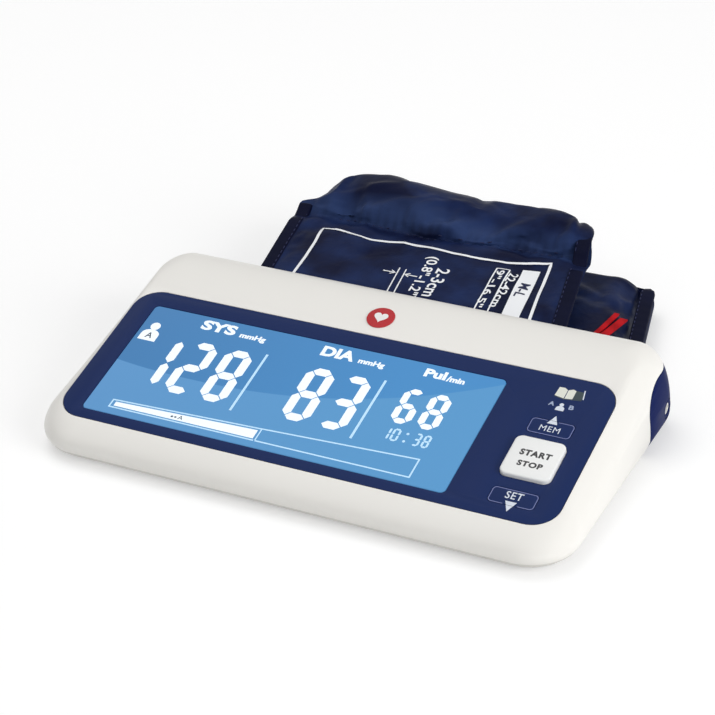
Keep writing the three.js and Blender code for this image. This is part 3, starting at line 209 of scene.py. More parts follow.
def rounded_block(name, width, depth, low, high, corner, place, steps=12):
    """A block with its upright corners rounded."""
    piece = primitive(bpy.ops.mesh.primitive_cube_add, size=1)
    piece.name = name
    middle = Matrix.Translation((0, 0, (low + high) / 2))
    piece.data.transform(middle @ Matrix.Diagonal((width, depth, high - low, 1)))
    if corner:
        bevel_edges(piece, lambda a, b: abs(a.z - b.z) > (high - low) / 2, corner, steps)
    piece.data.transform(place)
    return piece


def modified(piece, kind, **settings):
    """Puts a modifier on a piece and applies it at once."""
    made = piece.modifiers.new(kind, kind)
    for name, value in settings.items():
        setattr(made, name, value)
    select_only(piece)
    bpy.ops.object.modifier_apply(modifier=kind)


def carve(piece, *tools, operation="DIFFERENCE"):
    """Cuts each tool from the piece, or keeps what they share, and deletes the tools."""
    for tool in tools:
        modified(piece, "BOOLEAN", operation=operation, object=tool, solver="EXACT")
        bpy.data.objects.remove(tool)


def mesh_piece(name, points, faces, place=None):
    """A new piece from its points and faces, with its faces turned outwards."""
    mesh = bpy.data.meshes.new(name)
    mesh.from_pydata(points, [], faces)
    if place:
        mesh.transform(place)
    piece = linked(name, mesh)
    open_all(piece)
    bpy.ops.mesh.normals_make_consistent(inside=False)
    bpy.ops.object.mode_set(mode="OBJECT")
    return piece


def lofted(rings):
    """The points and faces of a closed skin through rings of as many points, with flat ends."""
    count = len(rings[0])
    faces = [tuple(range(count)), tuple((len(rings) - 1) * count + k for k in range(count))]
    for start in range(0, (len(rings) - 1) * count, count):
        for k in range(count):
            after = (k + 1) % count
            faces.append((start + k, start + after, start + count + after, start + count + k))
    return [point for ring in rings for point in ring], faces


def plan_ring(side, front, rear, front_radius, rear_radius, steps):
    """A rounded rectangle as (x, y, normal x, normal y), from the right of the nose round."""
    corners = (
        (side - front_radius, front + front_radius, front_radius, -90),
        (side - rear_radius, rear - rear_radius, rear_radius, 0),
        (-side + rear_radius, rear - rear_radius, rear_radius, 90),
        (-side + front_radius, front + front_radius, front_radius, 180))
    ring = []
    for x, y, radius, start in corners:
        for k in range(steps + 1):
            angle = math.radians(start + 90 * k / steps)
            normal = math.cos(angle), math.sin(angle)
            ring.append((x + radius * normal[0], y + radius * normal[1], *normal))
    return ring


def housing_form(name, inset, corner_steps=22, lower_steps=10, upper_steps=26):
    """The whole outer form of the housing, or the same form set in by a wall."""
    side = BODY_WIDTH / 2 - inset
    front = inset
    rear = BODY_DEPTH - inset
    base = UNDERSIDE + inset
    front_corner, rear_corner = CORNERS["front"] - inset, CORNERS["rear"] - inset

    def top_at(y):
        return NOSE_TOP - inset / math.cos(TILT) + math.tan(TILT) * y

    def fall(value, roll):
        return 1 - max(value, 0) ** (2 / roll["power"])

    widest = plan_ring(side, front, rear, front_corner, rear_corner, corner_steps)
    shares = [(nx * nx, max(ny, 0) ** 2, min(ny, 0) ** 2) for _, _, nx, ny in widest]
    heights = []
    for (_, y, _, _), (by_side, by_rear, by_front) in zip(widest, shares):
        rise = by_side * SIDE_ROLL["rise"] + by_rear * REAR_ROLL["rise"] + by_front * FRONT_ROLL["rise"]
        height = min(base + UNDER_ROLL["rise"], top_at(y) - rise)
        heights.append(max(base + UNDER_ROLL["least"] - inset, height))
    rings = []
    for step in range(lower_steps + 1):
        angle = math.pi / 2 * step / lower_steps
        inward = UNDER_ROLL["run"] * fall(math.sin(angle), UNDER_ROLL)
        up = fall(math.cos(angle), UNDER_ROLL)
        ring = plan_ring(
            side - inward, front + inward, rear - inward,
            max(front_corner - inward, MM), max(rear_corner - inward, MM), corner_steps)
        rings.append([(x, y, base + (heights[k] - base) * up) for k, (x, y, _, _) in enumerate(ring)])
    for step in range(1, upper_steps + 1):
        angle = math.pi / 2 * step / upper_steps
        turn = 1 - math.cos(angle)
        ring = plan_ring(
            side - SIDE_ROLL["run"] * fall(math.cos(angle), SIDE_ROLL),
            front + FRONT_ROLL["run"] * fall(math.cos(angle), FRONT_ROLL),
            rear - REAR_ROLL["run"] * fall(math.cos(angle), REAR_ROLL),
            front_corner + (CORNERS["top_front"] - CORNERS["front"]) * turn,
            rear_corner + (CORNERS["top_rear"] - CORNERS["rear"]) * turn,
            corner_steps)
        level = []
        for k, (x, y, _, _) in enumerate(ring):
            by_side, by_rear, by_front = shares[k]
            drop = (top_at(widest[k][1]) - heights[k]) * (
                by_side * fall(math.sin(angle), SIDE_ROLL)
                + by_rear * fall(math.sin(angle), REAR_ROLL)
                + by_front * fall(math.sin(angle), FRONT_ROLL))
            level.append((x, y, top_at(y) - drop))
        rings.append(level)
    return mesh_piece(name, *lofted(rings), level_frame)


def rear_region(grow):
    """All that lies behind the joint of the two housings, rounded over at its upper front."""
    run, drop = REAR_JOIN["run"], REAR_JOIN["drop"]
    front, top = REAR_JOIN["y"] - grow, REAR_JOIN["top"] + grow
    region = primitive(bpy.ops.mesh.primitive_cube_add, size=1)
    region.data.transform(Matrix.Diagonal((FAR, PAST / run, PAST / drop, 1)))
    bevel_edges(region, lambda a, b: max(a.y, b.y) < 0 and min(a.z, b.z) > 0, 1, 24)
    region.data.transform(Matrix.Diagonal((1, run, drop, 1)))
    region.data.transform(level_frame @ Matrix.Translation((0, front + PAST / 2, top - PAST / 2)))
    return region


def finish_edges(piece, width, limit=40, segments=2):
    """Rounds the sharp edges as a mould leaves them and shades the skin smooth between them."""
    if width:
        modified(piece, "BEVEL", width=width, segments=segments, limit_method="ANGLE",
                 angle_limit=math.radians(limit))
    bpy.ops.object.shade_smooth_by_angle(angle=SMOOTH_BELOW)


def dressed(piece, name, material, slot, body, *nodes):
    """Names a finished piece, gives it its material and puts it on its body; the slot is not used."""
    piece.name = name
    piece.data.materials.clear()
    piece.data.materials.append(material)
    if nodes:
        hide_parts(*nodes)
    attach(piece, body)
    return piece


def started(name):
    """A new material with its tree and its main shader."""
    made = bpy.data.materials.new(name)
    made.use_nodes = True
    return made, made.node_tree, made.node_tree.nodes["Principled BSDF"]


def tones(code, *shares):
    """The colour at each of these shares of its strength."""
    return [(*[c * share for c in linear(code)[:3]], 1) for share in shares]


def grained(name, code, roughness, grain, depth, coat=0.0, ior=1.53, level=0.5):
    """A solid material of one colour, moulded, cast or printed. Its sheen wanders a little from
    place to place over the fine grain of its skin; grain and depth are in millimetres."""
    made, tree, shader = started(name)
    place = add(tree, "ShaderNodeTexCoord").outputs["Object"]
    cloud = add(tree, "ShaderNodeTexNoise", {"Vector": place, "Scale": 18.0, "Detail": 2.0})
    sheen = add(tree, "ShaderNodeMapRange", {
        "Value": cloud.outputs["Fac"], "From Min": 0.3, "From Max": 0.7,
        "To Min": roughness - 0.03, "To Max": roughness + 0.03})
    dark, light = tones(code, 0.985, 1.015)
    shade = add(tree, "ShaderNodeMix", {0: cloud.outputs["Fac"], 6: dark, 7: light}, data_type="RGBA")
    fine = add(tree, "ShaderNodeTexNoise", {"Vector": place, "Scale": 1 / (grain * MM), "Detail": 1.0})
    bump = add(tree, "ShaderNodeBump", {
        "Height": fine.outputs["Fac"], "Strength": 0.35, "Distance": depth * MM})
    feed(tree, shader, {
        "Base Color": shade.outputs[2], "Roughness": sheen.outputs[0], "Normal": bump.outputs[0],
        "IOR": ior, "Specular IOR Level": level, "Coat Weight": coat, "Coat Roughness": 0.12})
    return made


# Satin white ABS: a warm white that keeps soft, wide highlights on its curves.
white_abs = grained("satin_white_abs", "#F1EFEA", 0.36, 0.35, 0.010)

panel_middle = panel_frame @ Matrix.Translation((0, PANEL_START + PANEL_HEIGHT / 2, 0))
shell = housing_form("shell_top", 0)
carve(
    shell,
    housing_form("inside", WALL, 12, 4, 12),
    rounded_block(
        "recess", PANEL_WIDTH + 2 * SEAM, PANEL_HEIGHT + 2 * SEAM, -PANEL_THICKNESS - SEAM, 3 * MM,
        PANEL_CORNER + SEAM, panel_middle),
    rounded_block(
        "opening", PANEL_WIDTH - 2 * PANEL_LEDGE, PANEL_HEIGHT - 2 * PANEL_LEDGE, -PANEL_OPENING, 0,
        PANEL_CORNER - PANEL_LEDGE, panel_middle),
    rear_region(SEAM),
    rounded_block("below", FAR, 0.4, -0.1, SHELL_FOOT, 0, level_frame))
finish_edges(shell, 0.25 * MM)
dressed(shell, "shell_top", white_abs, "white_shell", "housing", "top_shell")

# Navy rear housing: a second ABS moulding, dyed navy right through, that closes the back. It
# holds the cuff bay, a long box with rounded corners that is open to the rear, and the two
# sockets, and is let in for the rear feet.
BAY_WIDTH = 180.8 * MM
BAY_HEIGHT = 22.2 * MM
BAY_BASE = 3 * MM
BAY_WALL = 1.8 * MM
BAY_FRONT = 90.81 * MM
BAY_CORNER = 3 * MM
BAY_RIM = 6.6 * MM
SOCKET_Z = 10.4 * MM
AIR_SOCKET = {"y": 101 * MM, "radius": 5.6 * MM}
POWER_SOCKET = {"y": 103.8 * MM, "radius": 3.6 * MM, "bore": 2.3 * MM}
FOOT_RADIUS = 5 * MM
FOOT_RECESS = 1.8 * MM
# The places of the four feet, front left, front right, rear left and rear right.
foot_places = [level_frame @ Matrix.Translation((x * MM, y * MM, 0)) for y in (17, 103) for x in (-78, 78)]

# Satin navy ABS: a deep, even blue; the dye leaves it a duller sheen than the white has.
navy_abs = grained("satin_navy_abs", "#0F1D52", 0.40, 0.35, 0.010, ior=1.14, level=0.25)


def bay_block(name, grow, start):
    """A block along the bay and out behind it, its long edges rounded, grown on every side."""
    end = 0.2
    place = Matrix.Translation((0, start, BAY_BASE + BAY_HEIGHT / 2)) @ Matrix.Rotation(-math.pi / 2, 4, "X")
    return rounded_block(
        name, BAY_WIDTH + 2 * grow, BAY_HEIGHT + 2 * grow, 0, end - start, BAY_CORNER + grow,
        level_frame @ place, 6)


def round_tool(name, radius, start, end, place):
    """A round cutter or pin from start to end along the Z of its place."""
    tool = primitive(bpy.ops.mesh.primitive_cylinder_add, vertices=64, radius=radius, depth=end - start)
    tool.name = name
    tool.data.transform(place @ Matrix.Translation((0, 0, (start + end) / 2)))
    return tool


def side_place(socket):
    """The place of a socket in the side of the housing; its Z runs to the right."""
    place = level_frame @ Matrix.Translation((0, socket["y"], SOCKET_Z))
    return place @ Matrix.Rotation(math.pi / 2, 4, "Y")


rear_shell = housing_form("shell_rear", 0)
carve(rear_shell, rear_region(0), operation="INTERSECT")
hollow = housing_form("hollow", WALL, 12, 4, 12)
behind_rim = level_frame @ Matrix.Translation((0, BODY_DEPTH - BAY_RIM + 0.1, 0))
carve(
    hollow,
    bay_block("bay_outside", BAY_WALL, BAY_FRONT - BAY_WALL),
    rounded_block("mouth", FAR, 0.2, -0.1, 0.1, 0, behind_rim))
bay_side = BAY_WIDTH / 2 + BAY_WALL
outside = 0.12
carve(
    rear_shell, hollow,
    bay_block("bay", 0, BAY_FRONT),
    round_tool("left_hole", AIR_SOCKET["radius"] + SEAM, -outside, -bay_side, side_place(AIR_SOCKET)),
    round_tool("right_hole", POWER_SOCKET["radius"] + SEAM, bay_side, outside, side_place(POWER_SOCKET)),
    *[round_tool("foot_recess", FOOT_RADIUS + SEAM, -MM, FOOT_RECESS, place) for place in foot_places[2:]])
finish_edges(rear_shell, 0.3 * MM)
dressed(rear_shell, "shell_rear", navy_abs, "navy_housing", "housing", "rear_housing")

# Bottom cover: a flat tray of ABS with the battery box, held by four screws from below. It is
# carried over from the frame, with its triangles joined into faces.


def finished_copy(node, name, material, slot, body, edge=0.0):
    """A detailed copy of a carried-over solid, its triangles merged and its edges rounded."""
    piece = linked(name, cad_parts[node].data.copy())
    open_all(piece)
    bpy.ops.mesh.remove_doubles(threshold=0.002 * MM)
    bpy.ops.mesh.dissolve_limited(angle_limit=math.radians(0.5))
    bpy.ops.object.mode_set(mode="OBJECT")
    finish_edges(piece, edge)
    return dressed(piece, name, material, slot, body, node)


# Matt off-white ABS: flat and slightly grey, with a grain coarse enough to kill its highlights.
cover_abs = grained("matt_off_white_abs", "#DEDCD6", 0.55, 0.5, 0.02)
finished_copy("bottom_cover", "cover_bottom", cover_abs, "cover_grey", "housing")

# Battery door: a lid of the same matt ABS with a springy latch, hooked in at its rear edge so
# that it tilts open about it.
finished_copy("battery_door", "door_battery", cover_abs, "cover_grey", "battery_door")

# Feet: four pads of soft rubber with a rounded edge, moulded and pressed into round recesses.
# Black rubber is dead matt, with only a dull grey bloom in the light.
foot_rubber = grained("matt_black_rubber", "#2E3034", 0.8, 0.4, 0.03)
for number, place in enumerate(foot_places, 1):
    foot = round_tool("foot", FOOT_RADIUS, 0, FOOT_RECESS, place)
    finish_edges(foot, 0.5 * MM, segments=4)
    dressed(foot, "pad_foot_%d" % number, foot_rubber, "foot_rubber", "housing", "foot_%d" % number)

# Screws, and with them every bright steel part inside: turned, drawn or pressed from steel and
# plated with nickel, which mirrors softly with a faint mottle from the plating bath.
plated_steel, tree, shader = started("nickel_plated_steel")
place = add(tree, "ShaderNodeTexCoord").outputs["Object"]
mottle = add(tree, "ShaderNodeTexNoise", {"Vector": place, "Scale": 400.0, "Detail": 3.0})
sheen = add(tree, "ShaderNodeMapRange", {"Value": mottle.outputs["Fac"], "To Min": 0.2, "To Max": 0.4})
feed(tree, shader, {"Base Color": linear("#C9C8C4"), "Metallic": 1.0, "Roughness": sheen.outputs[0]})


def refinish(material, *names):
    """Gives carried-over nodes their material."""
    for name in names:
        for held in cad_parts[name].material_slots:
            held.material = material


refinish(
    plated_steel, "screw_1", "screw_2", "screw_3", "screw_4", "contact_spring_1", "contact_spring_2",
    "contact_plate_1", "contact_plate_2", "pump_motor", "release_valve")

# Display panel: a polycarbonate sheet printed navy on its back, with a cut-out for the window
# and three for the keys, bonded into the recess of the top shell.
# The clear sheet over the print gives it a semi gloss and a blue a little lighter than the back.
navy_sheet = grained("back_printed_polycarbonate", "#14295B", 0.34, 0.5, 0.004, level=0.22)
finished_copy("front_panel", "panel_display", navy_sheet, "navy_panel", "housing", 0.12 * MM)

# Display: a negative liquid-crystal glass lit from behind, seen through its clear window. It
# shows two blues that meet in a wave, the paler one below it a painted reflection of gloss;
# the lit pane is one flush, polished acrylic block.
PAINTED_GLOSS_EDGE = {"low": 38.7, "rise": 12.3, "trough": -55.0, "span": 75.0, "power": 2.27}
BACK_LIGHT = 0.55

# Backlit acrylic: it glows in its own blue, painted paler below the wave as a painted reflection of gloss,
# and its polish still takes a sharp highlight.
# Each blue drifts a little from the left of the pane to the right.
lit_acrylic, tree, shader = started("backlit_acrylic")
place = add(tree, "ShaderNodeTexCoord").outputs["Object"]
own = add(tree, "ShaderNodeMapping", {
    "Vector": place, "Location": panel_frame.translation, "Rotation": (TILT, 0, 0),
    "Scale": (MM, MM, MM)}, vector_type="TEXTURE")
split = add(tree, "ShaderNodeSeparateXYZ", {0: own.outputs[0]}).outputs
crest = split["X"]
for operation, *values in (
        ("SUBTRACT", PAINTED_GLOSS_EDGE["trough"]), ("ABSOLUTE",), ("DIVIDE", PAINTED_GLOSS_EDGE["span"]), ("POWER", PAINTED_GLOSS_EDGE["power"]),
        ("MULTIPLY_ADD", PAINTED_GLOSS_EDGE["rise"], PAINTED_GLOSS_EDGE["low"])):
    inputs = dict(enumerate([crest, *values]))
    crest = add(tree, "ShaderNodeMath", inputs, operation=operation).outputs[0]
# Below the wavy edge the blue is painted paler: a painted reflection of gloss on the window.
above = add(tree, "ShaderNodeMath", {0: split["Y"], 1: crest}, operation="SUBTRACT")
side = add(tree, "ShaderNodeMapRange", {"Value": above.outputs[0], "From Min": -0.2, "From Max": 0.2})
across = add(tree, "ShaderNodeMapRange", {"Value": split["X"], "From Min": -88.0, "From Max": 20.0})
upper_blue, painted_gloss_blue = [
    add(tree, "ShaderNodeMix", {0: across.outputs[0], 6: linear(left), 7: linear(right)}, data_type="RGBA")
    for left, right in (("#4482BB", "#4A90CC"), ("#609CD3", "#5A9BD0"))]
blue = add(tree, "ShaderNodeMix", {
    0: side.outputs[0], 6: painted_gloss_blue.outputs[2], 7: upper_blue.outputs[2]}, data_type="RGBA")
dimmed = add(tree, "ShaderNodeMix", {
    0: BACK_LIGHT, 6: blue.outputs[2], 7: linear("#000000")}, data_type="RGBA")
feed(tree, shader, {
    "Base Color": dimmed.outputs[2], "Emission Color": blue.outputs[2], "Emission Strength": BACK_LIGHT,
    "Roughness": 0.12, "IOR": 1.49})
finished_copy("display_window", "pane_display", lit_acrylic, "display_blue", "housing", 0.1 * MM)
refinish(lit_acrylic, "display_glass")
# Milky acrylic spreads the lamps' light, so it is an even, cool white all over.
guide_milk = grained("milky_light_guide", "#E9F0F6", 0.4, 0.6, 0.005)
refinish(guide_milk, "display_backlight")

# Figures on the display: bright segments that let the back light through, three readings, a
# clock, a signal bar and a user mark. Each is a thin raised layer on the pane.
INK = 0.02 * MM


def glowing(name, code, share):
    """A patch of the display that passes the back light, with a faint unevenness of the film."""
    made, tree, shader = started(name)
    place = add(tree, "ShaderNodeTexCoord").outputs["Object"]
    film = add(tree, "ShaderNodeTexNoise", {"Vector": place, "Scale": 60.0})
    dark, light = tones(code, 0.97, 1.0)
    tint = add(tree, "ShaderNodeMix", {0: film.outputs["Fac"], 6: dark, 7: light}, data_type="RGBA")
    feed(tree, shader, {
        "Base Color": tint.outputs[2], "Emission Color": tint.outputs[2], "Emission Strength": share,
        "Roughness": 0.2})
    return made


# Clear segments glow white or pale cyan on the blue; a dark one lets hardly any light through.
segment_white = glowing("lit_segment_white", "#E6EEF6", 0.35)
segment_cyan = glowing("lit_segment_pale_cyan", "#B4D8F0", 0.3)
segment_grey = glowing("dark_segment_grey", "#4E5F6E", 0.05)


def printed(name, outlines, material, slot, body="housing", lift=0.0, thick=INK):
    """Thin flat shapes on the panel, each from its outline of (u, v) in millimetres."""
    piece = primitive(bpy.ops.mesh.primitive_circle_add, vertices=len(outlines[0]), fill_type="NGON")
    bpy.ops.object.mode_set(mode="EDIT")
    for number, outline in enumerate(outlines):
        if number:
            bpy.ops.mesh.primitive_circle_add(vertices=len(outline), fill_type="NGON")
        mesh = bmesh.from_edit_mesh(piece.data)
        mesh.verts.ensure_lookup_table()
        for vertex, (u, v) in zip(mesh.verts[-len(outline):], outline):
            vertex.co = (u * MM, v * MM, lift)
        bmesh.update_edit_mesh(piece.data)
    bpy.ops.mesh.select_all(action="SELECT")
    bpy.ops.mesh.extrude_region_move(TRANSFORM_OT_translate={"value": (0, 0, thick)})
    bpy.ops.mesh.select_all(action="SELECT")
    bpy.ops.mesh.normals_make_consistent(inside=False)
    bpy.ops.object.mode_set(mode="OBJECT")
    piece.data.transform(panel_frame)
    return dressed(piece, name, material, slot, body)


def stroke(points, width):
    """The outline of an open line of that width through the points, mitred at its bends."""
    left, right = [], []
    for k, point in enumerate(points):
        here = Vector(point)
        into = (here - Vector(points[k - 1])).normalized() if k else None
        out = (Vector(points[k + 1]) - here).normalized() if k + 1 < len(points) else None
        into, out = into or out, out or into
        along = (into + out).normalized()
        side = Vector((-along.y, along.x)) * width / 2 / max(along.dot(into), 0.5)
        left.append(tuple(here + side))
        right.append(tuple(here - side))
    return right + left[::-1]


def oval(u, v, radius, height=None, count=24):
    """A round or oval outline."""
    turns = [2 * math.pi * k / count for k in range(count)]
    return [(u + radius * math.cos(t), v + (height or radius) * math.sin(t)) for t in turns]


def arch(u, v, half, height, steps):
    """The upper half of an oval, from its right end to its left: a pair of shoulders."""
    turns = [math.pi * k / steps for k in range(steps + 1)]
    return [(u + half * math.cos(t), v + height * math.sin(t)) for t in turns]


LIT = {0: "abcdef", 1: "bc", 2: "abged", 3: "abgcd", 6: "afgedc", 8: "abcdefg"}


def figure(number, left, right, low, high, width, gap=0.25, middle=None):
    """The pointed segments of one figure, each a hexagon between two of its six corners."""
    middle = middle or (low + high) / 2
    half = width / 2
    ends = {(c, r): (x, y) for c, x in enumerate((left + half, right - half))
            for r, y in enumerate((low + half, middle, high - half))}
    spans = {
        "a": ((0, 2), (1, 2)), "b": ((1, 2), (1, 1)), "c": ((1, 1), (1, 0)), "d": ((0, 0), (1, 0)),
        "e": ((0, 1), (0, 0)), "f": ((0, 2), (0, 1)), "g": ((0, 1), (1, 1))}
    outlines = []
    for letter in LIT[number]:
        start, end = [Vector(ends[corner]) for corner in spans[letter]]
        along = (end - start).normalized()
        side = Vector((-along.y, along.x)) * half
        tip, shoulder = along * gap, along * (gap + half)
        hexagon = (start + tip, start + shoulder - side, end - shoulder - side,
                   end - tip, end - shoulder + side, start + shoulder + side)
        outlines.append([tuple(point) for point in hexagon])
    return outlines


big = {"low": 30.5, "high": 57.65, "width": 3.5, "middle": 44.05}
pulse = {"low": 40.15, "high": 57.65, "width": 2.6}
clock = {"low": 31.6, "high": 37.75, "width": 0.8, "gap": 0.05}
for name, material, outlines in (
        ("reading_upper", segment_white, [
            *figure(1, -77.8, -66.45, **big), *figure(2, -63.5, -52.2, **big),
            *figure(8, -48.9, -37.6, **big)]),
        ("reading_lower", segment_white, [*figure(8, -15.1, -3.7, **big), *figure(3, -0.6, 10.8, **big)]),
        ("reading_pulse", segment_white, [
            *figure(6, 23.75, 31.75, **pulse), *figure(8, 34.05, 42.1, **pulse)]),
        ("clock_figures", segment_cyan, [
            *figure(1, 24.8, 27.25, **clock), *figure(0, 27.9, 30.8, **clock), oval(33.4, 36.35, 0.55),
            oval(33.4, 32.6, 0.55), *figure(3, 36.3, 39.0, **clock), *figure(8, 39.8, 42.5, **clock)]),
        ("display_dividers", segment_cyan, [
            stroke([(x, 28.5), (x, 58.75)], 0.95) for x in (-33.5, 14.65)]),
        ("signal_bar_frame", segment_cyan, [
            stroke([(-17.75, 22.9), (-18, 23.4), (42.3, 26.2), (42.3, 17.4), (-17.75, 17.4)], 0.6),
            stroke([(-18.3, 17.4), (-78.0, 17.4), (-78.0, 21.0), (-18.3, 23.35)], 0.6),
            stroke([(-17.75, 17.7), (-17.75, 23.1)], 0.5)]),
        ("signal_bar_fill", segment_white, [
            [(-76.5, 18.2), (-18.9, 18.2), (-18.9, 22.4), (-76.5, 20.2)]])):
    printed(name, outlines, material, "display_blue")
printed("signal_bar_mark", [oval(-52.6, 19.5, 0.55, 0.45, 10), oval(-51.2, 19.55, 0.5, 0.4, 10)],
        segment_grey, "display_blue", lift=INK, thick=INK / 2)
printed("user_mark", [
    oval(-82.35, 60.65, 2.0), [(-86.1, 52.8), (-78.75, 52.8), *arch(-82.4, 56.2, 3.65, 2.6, 12)]],
    segment_white, "display_blue")


def lettering(name, words, box, material, slot, body="housing", place=panel_frame, lift=0.0,
              weight=0.0, turn=0.0, thick=INK, spacing=1.0):
    """Words as thin raised letters that fill the box (left, right, low, high) in millimetres."""
    text = primitive(bpy.ops.object.text_add)
    text.data.body = words
    text.data.offset = weight
    text.data.space_character = spacing
    text.data.resolution_u = 4
    text.data.extrude = 0.5
    bpy.ops.object.convert(target="MESH")
    piece = bpy.context.object
    open_all(piece)
    bpy.ops.mesh.remove_doubles(threshold=0.0005)
    bpy.ops.object.mode_set(mode="OBJECT")
    piece.data.transform(Matrix.Rotation(turn, 4, "Z"))
    left, right, low, high = [value * MM for value in box]
    xs, ys = [[vertex.co[k] for vertex in piece.data.vertices] for k in (0, 1)]
    scale = ((right - left) / (max(xs) - min(xs)), (high - low) / (max(ys) - min(ys)))
    fit = Matrix.Diagonal((*scale, thick, 1)) @ Matrix.Translation((-min(xs), -min(ys), 0.5))
    piece.data.transform(place @ Matrix.Translation((left, low, lift)) @ fit)
    return dressed(piece, name, material, slot, body)


for name, words, box in (
        ("label_upper", "SYS", (-65.25, -50.75, 64.25, 69.4)),
        ("unit_upper", "mmHg", (-48.5, -37.75, 63.5, 66.8)),
        ("label_lower", "DIA", (-14.75, -1.4, 64.1, 69.25)),
        ("unit_lower", "mmHg", (0.6, 11.0, 63.5, 66.8)),
        ("label_pulse", "Pul", (26.5, 35.0, 64.7, 68.9)),
        ("unit_pulse", "/min", (35.4, 42.4, 64.6, 67.4))):
    lettering(name, words, box, segment_white, "display_blue", weight=0.045)
for name, box, weight in (
        ("signal_bar_letter", (-50.2, -48.2, 18.9, 20.7), 0.01),
        ("user_letter", (-83.8, -81.0, 54.2, 57.2), 0.02)):
    lettering(name, "A", box, segment_grey, "display_blue", lift=INK, weight=weight, thick=INK / 2)

# Prints on the panel: silk-screened beside the keys, for the stored readings and the two users.
# Screen ink is opaque and matt, one flat tint to each, and stands hardly proud of the sheet.
lilac_ink, white_ink, paper_ink, pale_ink, olive_ink, grey_ink = [
    grained(tint + "_screen_ink", code, 0.5, 0.3, 0.002) for tint, code in (
        ("lilac", "#707AAE"), ("white", "#DCE3EE"), ("paper_white", "#E4E6DA"),
        ("pale_blue", "#A4B2CE"), ("olive", "#3C4A4E"), ("grey", "#454547"))]
for name, material, lift, outlines in (
        ("book_pages", paper_ink, 0, [
            [(75.3, 69.1), (78.9, 68.4), (78.9, 72.7), (77.6, 73.5), (75.6, 73.4)],
            [(79.2, 68.4), (82.0, 68.8), (82.0, 73.0), (80.8, 73.5), (79.2, 72.7)]]),
        ("book_cover", olive_ink, INK / 2, [
            [(82.0, 68.8), (85.3, 69.3), (85.3, 73.0), (82.0, 73.2)],
            stroke([(75.2, 68.8), (79.05, 68.1), (85.4, 69.0)], 0.35)]),
        ("book_pen", white_ink, INK, [stroke([(84.9, 74.0), (85.7, 69.6)], 0.4)])):
    printed(name, outlines, material, "navy_panel", lift=lift)
for name, letter, box in (
        ("user_first", "A", (74.75, 76.9, 64.0, 66.0)), ("user_second", "B", (82.35, 84.15, 63.75, 65.85))):
    lettering(name, letter, box, pale_ink, "navy_panel", weight=0.035)
printed("user_figure", [
    oval(79.5, 65.2, 0.8), [(77.95, 62.3), (81.05, 62.3), *arch(79.5, 63.4, 1.55, 1.1, 10)]],
    white_ink, "navy_panel")

# Keys: the start key is a raised cap of white ABS; the two small ones are flush caps that carry
# the panel's print. Each stands on its switch and is held under the panel by a flange.
KEY_COLUMN = 80.0
START_TOP = 1.6 * MM
MEM = {"body": "mem_key", "middle": 53.4, "half_width": 7.75, "arrow_gap": (77.6, 81.7), "way": 1}
SET = {"body": "set_key", "middle": 19.1, "half_width": 8.1, "arrow_gap": (77.4, 82.7), "way": -1}
FRAME = {"half_depth": 3.3, "radius": 1.3, "line": 0.32}

# Satin white key ABS: a little cooler and glossier than the shell, so that the key stands out.
key_abs = grained("satin_white_key_abs", "#F3F4F3", 0.32, 0.35, 0.008)
for node, name, material, slot, edge in (
        ("start_stop_button", "key_start_stop", key_abs, "key_white", 0.5),
        ("mem_key", "cap_mem", navy_sheet, "navy_panel", 0.15),
        ("set_key", "cap_set", navy_sheet, "navy_panel", 0.15)):
    finished_copy(node, name, material, slot, node, edge * MM)
for name, words, box in (
        ("print_start", "START", (74.7, 86.2, 37.4, 40.25)),
        ("print_stop", "STOP", (75.7, 84.85, 32.4, 35.0))):
    lettering(name, words, box, grey_ink, "key_white", "start_stop_button",
              lift=START_TOP, weight=0.05, spacing=1.15)
for name, words, box, body, weight in (
        ("print_mem", "MEM", (76.1, 83.5, 51.6, 54.25), "mem_key", 0.0),
        ("print_set", "SET", (77.0, 83.2, 18.4, 21.7), "set_key", 0.01)):
    lettering(name, words, box, white_ink, "navy_panel", body, weight=weight, spacing=1.1)


def key_frame(key):
    """The line round a small key, just inside its edge, open where the arrow crosses it."""
    radius, way = FRAME["radius"], key["way"]
    end = key["middle"] + way * FRAME["half_depth"]
    line = [(key["arrow_gap"][1], end)]
    for sx, sy, start in ((1, 1, 90), (1, -1, 0), (-1, -1, -90), (-1, 1, -180)):
        for k in range(7):
            turn = math.radians(start - 15 * k)
            across = sx * (key["half_width"] - radius) + radius * math.cos(turn)
            up = sy * (FRAME["half_depth"] - radius) + radius * math.sin(turn)
            line.append((KEY_COLUMN + across, key["middle"] + way * up))
    line.append((key["arrow_gap"][0], end))
    return stroke(line, FRAME["line"])


# Each arrow starts on its key and goes on over the panel, so it is printed in two parts.
for name, key, arrow in (
        ("frame_mem", MEM, (
            ("arrow_mem_foot", "mem_key", [(77.8, 55.4), (81.55, 55.4), (80.88, 56.93), (78.49, 56.93)]),
            ("arrow_mem", "housing", [(78.55, 57.05), (80.82, 57.05), (79.7, 59.6)]))),
        ("frame_set", SET, (
            ("arrow_set_head", "set_key", [(77.9, 17.3), (78.74, 15.57), (81.34, 15.57), (82.1, 17.3)]),
            ("arrow_set", "housing", [(78.79, 15.45), (80.1, 12.75), (81.29, 15.45)])))):
    printed(name, [key_frame(key)], lilac_ink, "navy_panel", key["body"])
    for part, body, outline in arrow:
        printed(part, [outline], white_ink, "navy_panel", body)

# Circuit board and what is soldered to it: a board of glass fibre and resin, hung under the
# display, with moulded switches, a pressure sensor and a buzzer.
# Green lacquer lies over the board like a thin gloss coat.
board_lacquer = grained("green_board_lacquer", "#1D6B45", 0.4, 0.6, 0.01, coat=0.4)
refinish(board_lacquer, "main_board")
# Black nylon is a plain, slightly dull moulding.
black_nylon = grained("black_moulded_nylon", "#1B1C1F", 0.5, 0.3, 0.02)
refinish(black_nylon, "start_switch", "mem_switch", "set_switch", "pressure_sensor", "buzzer")

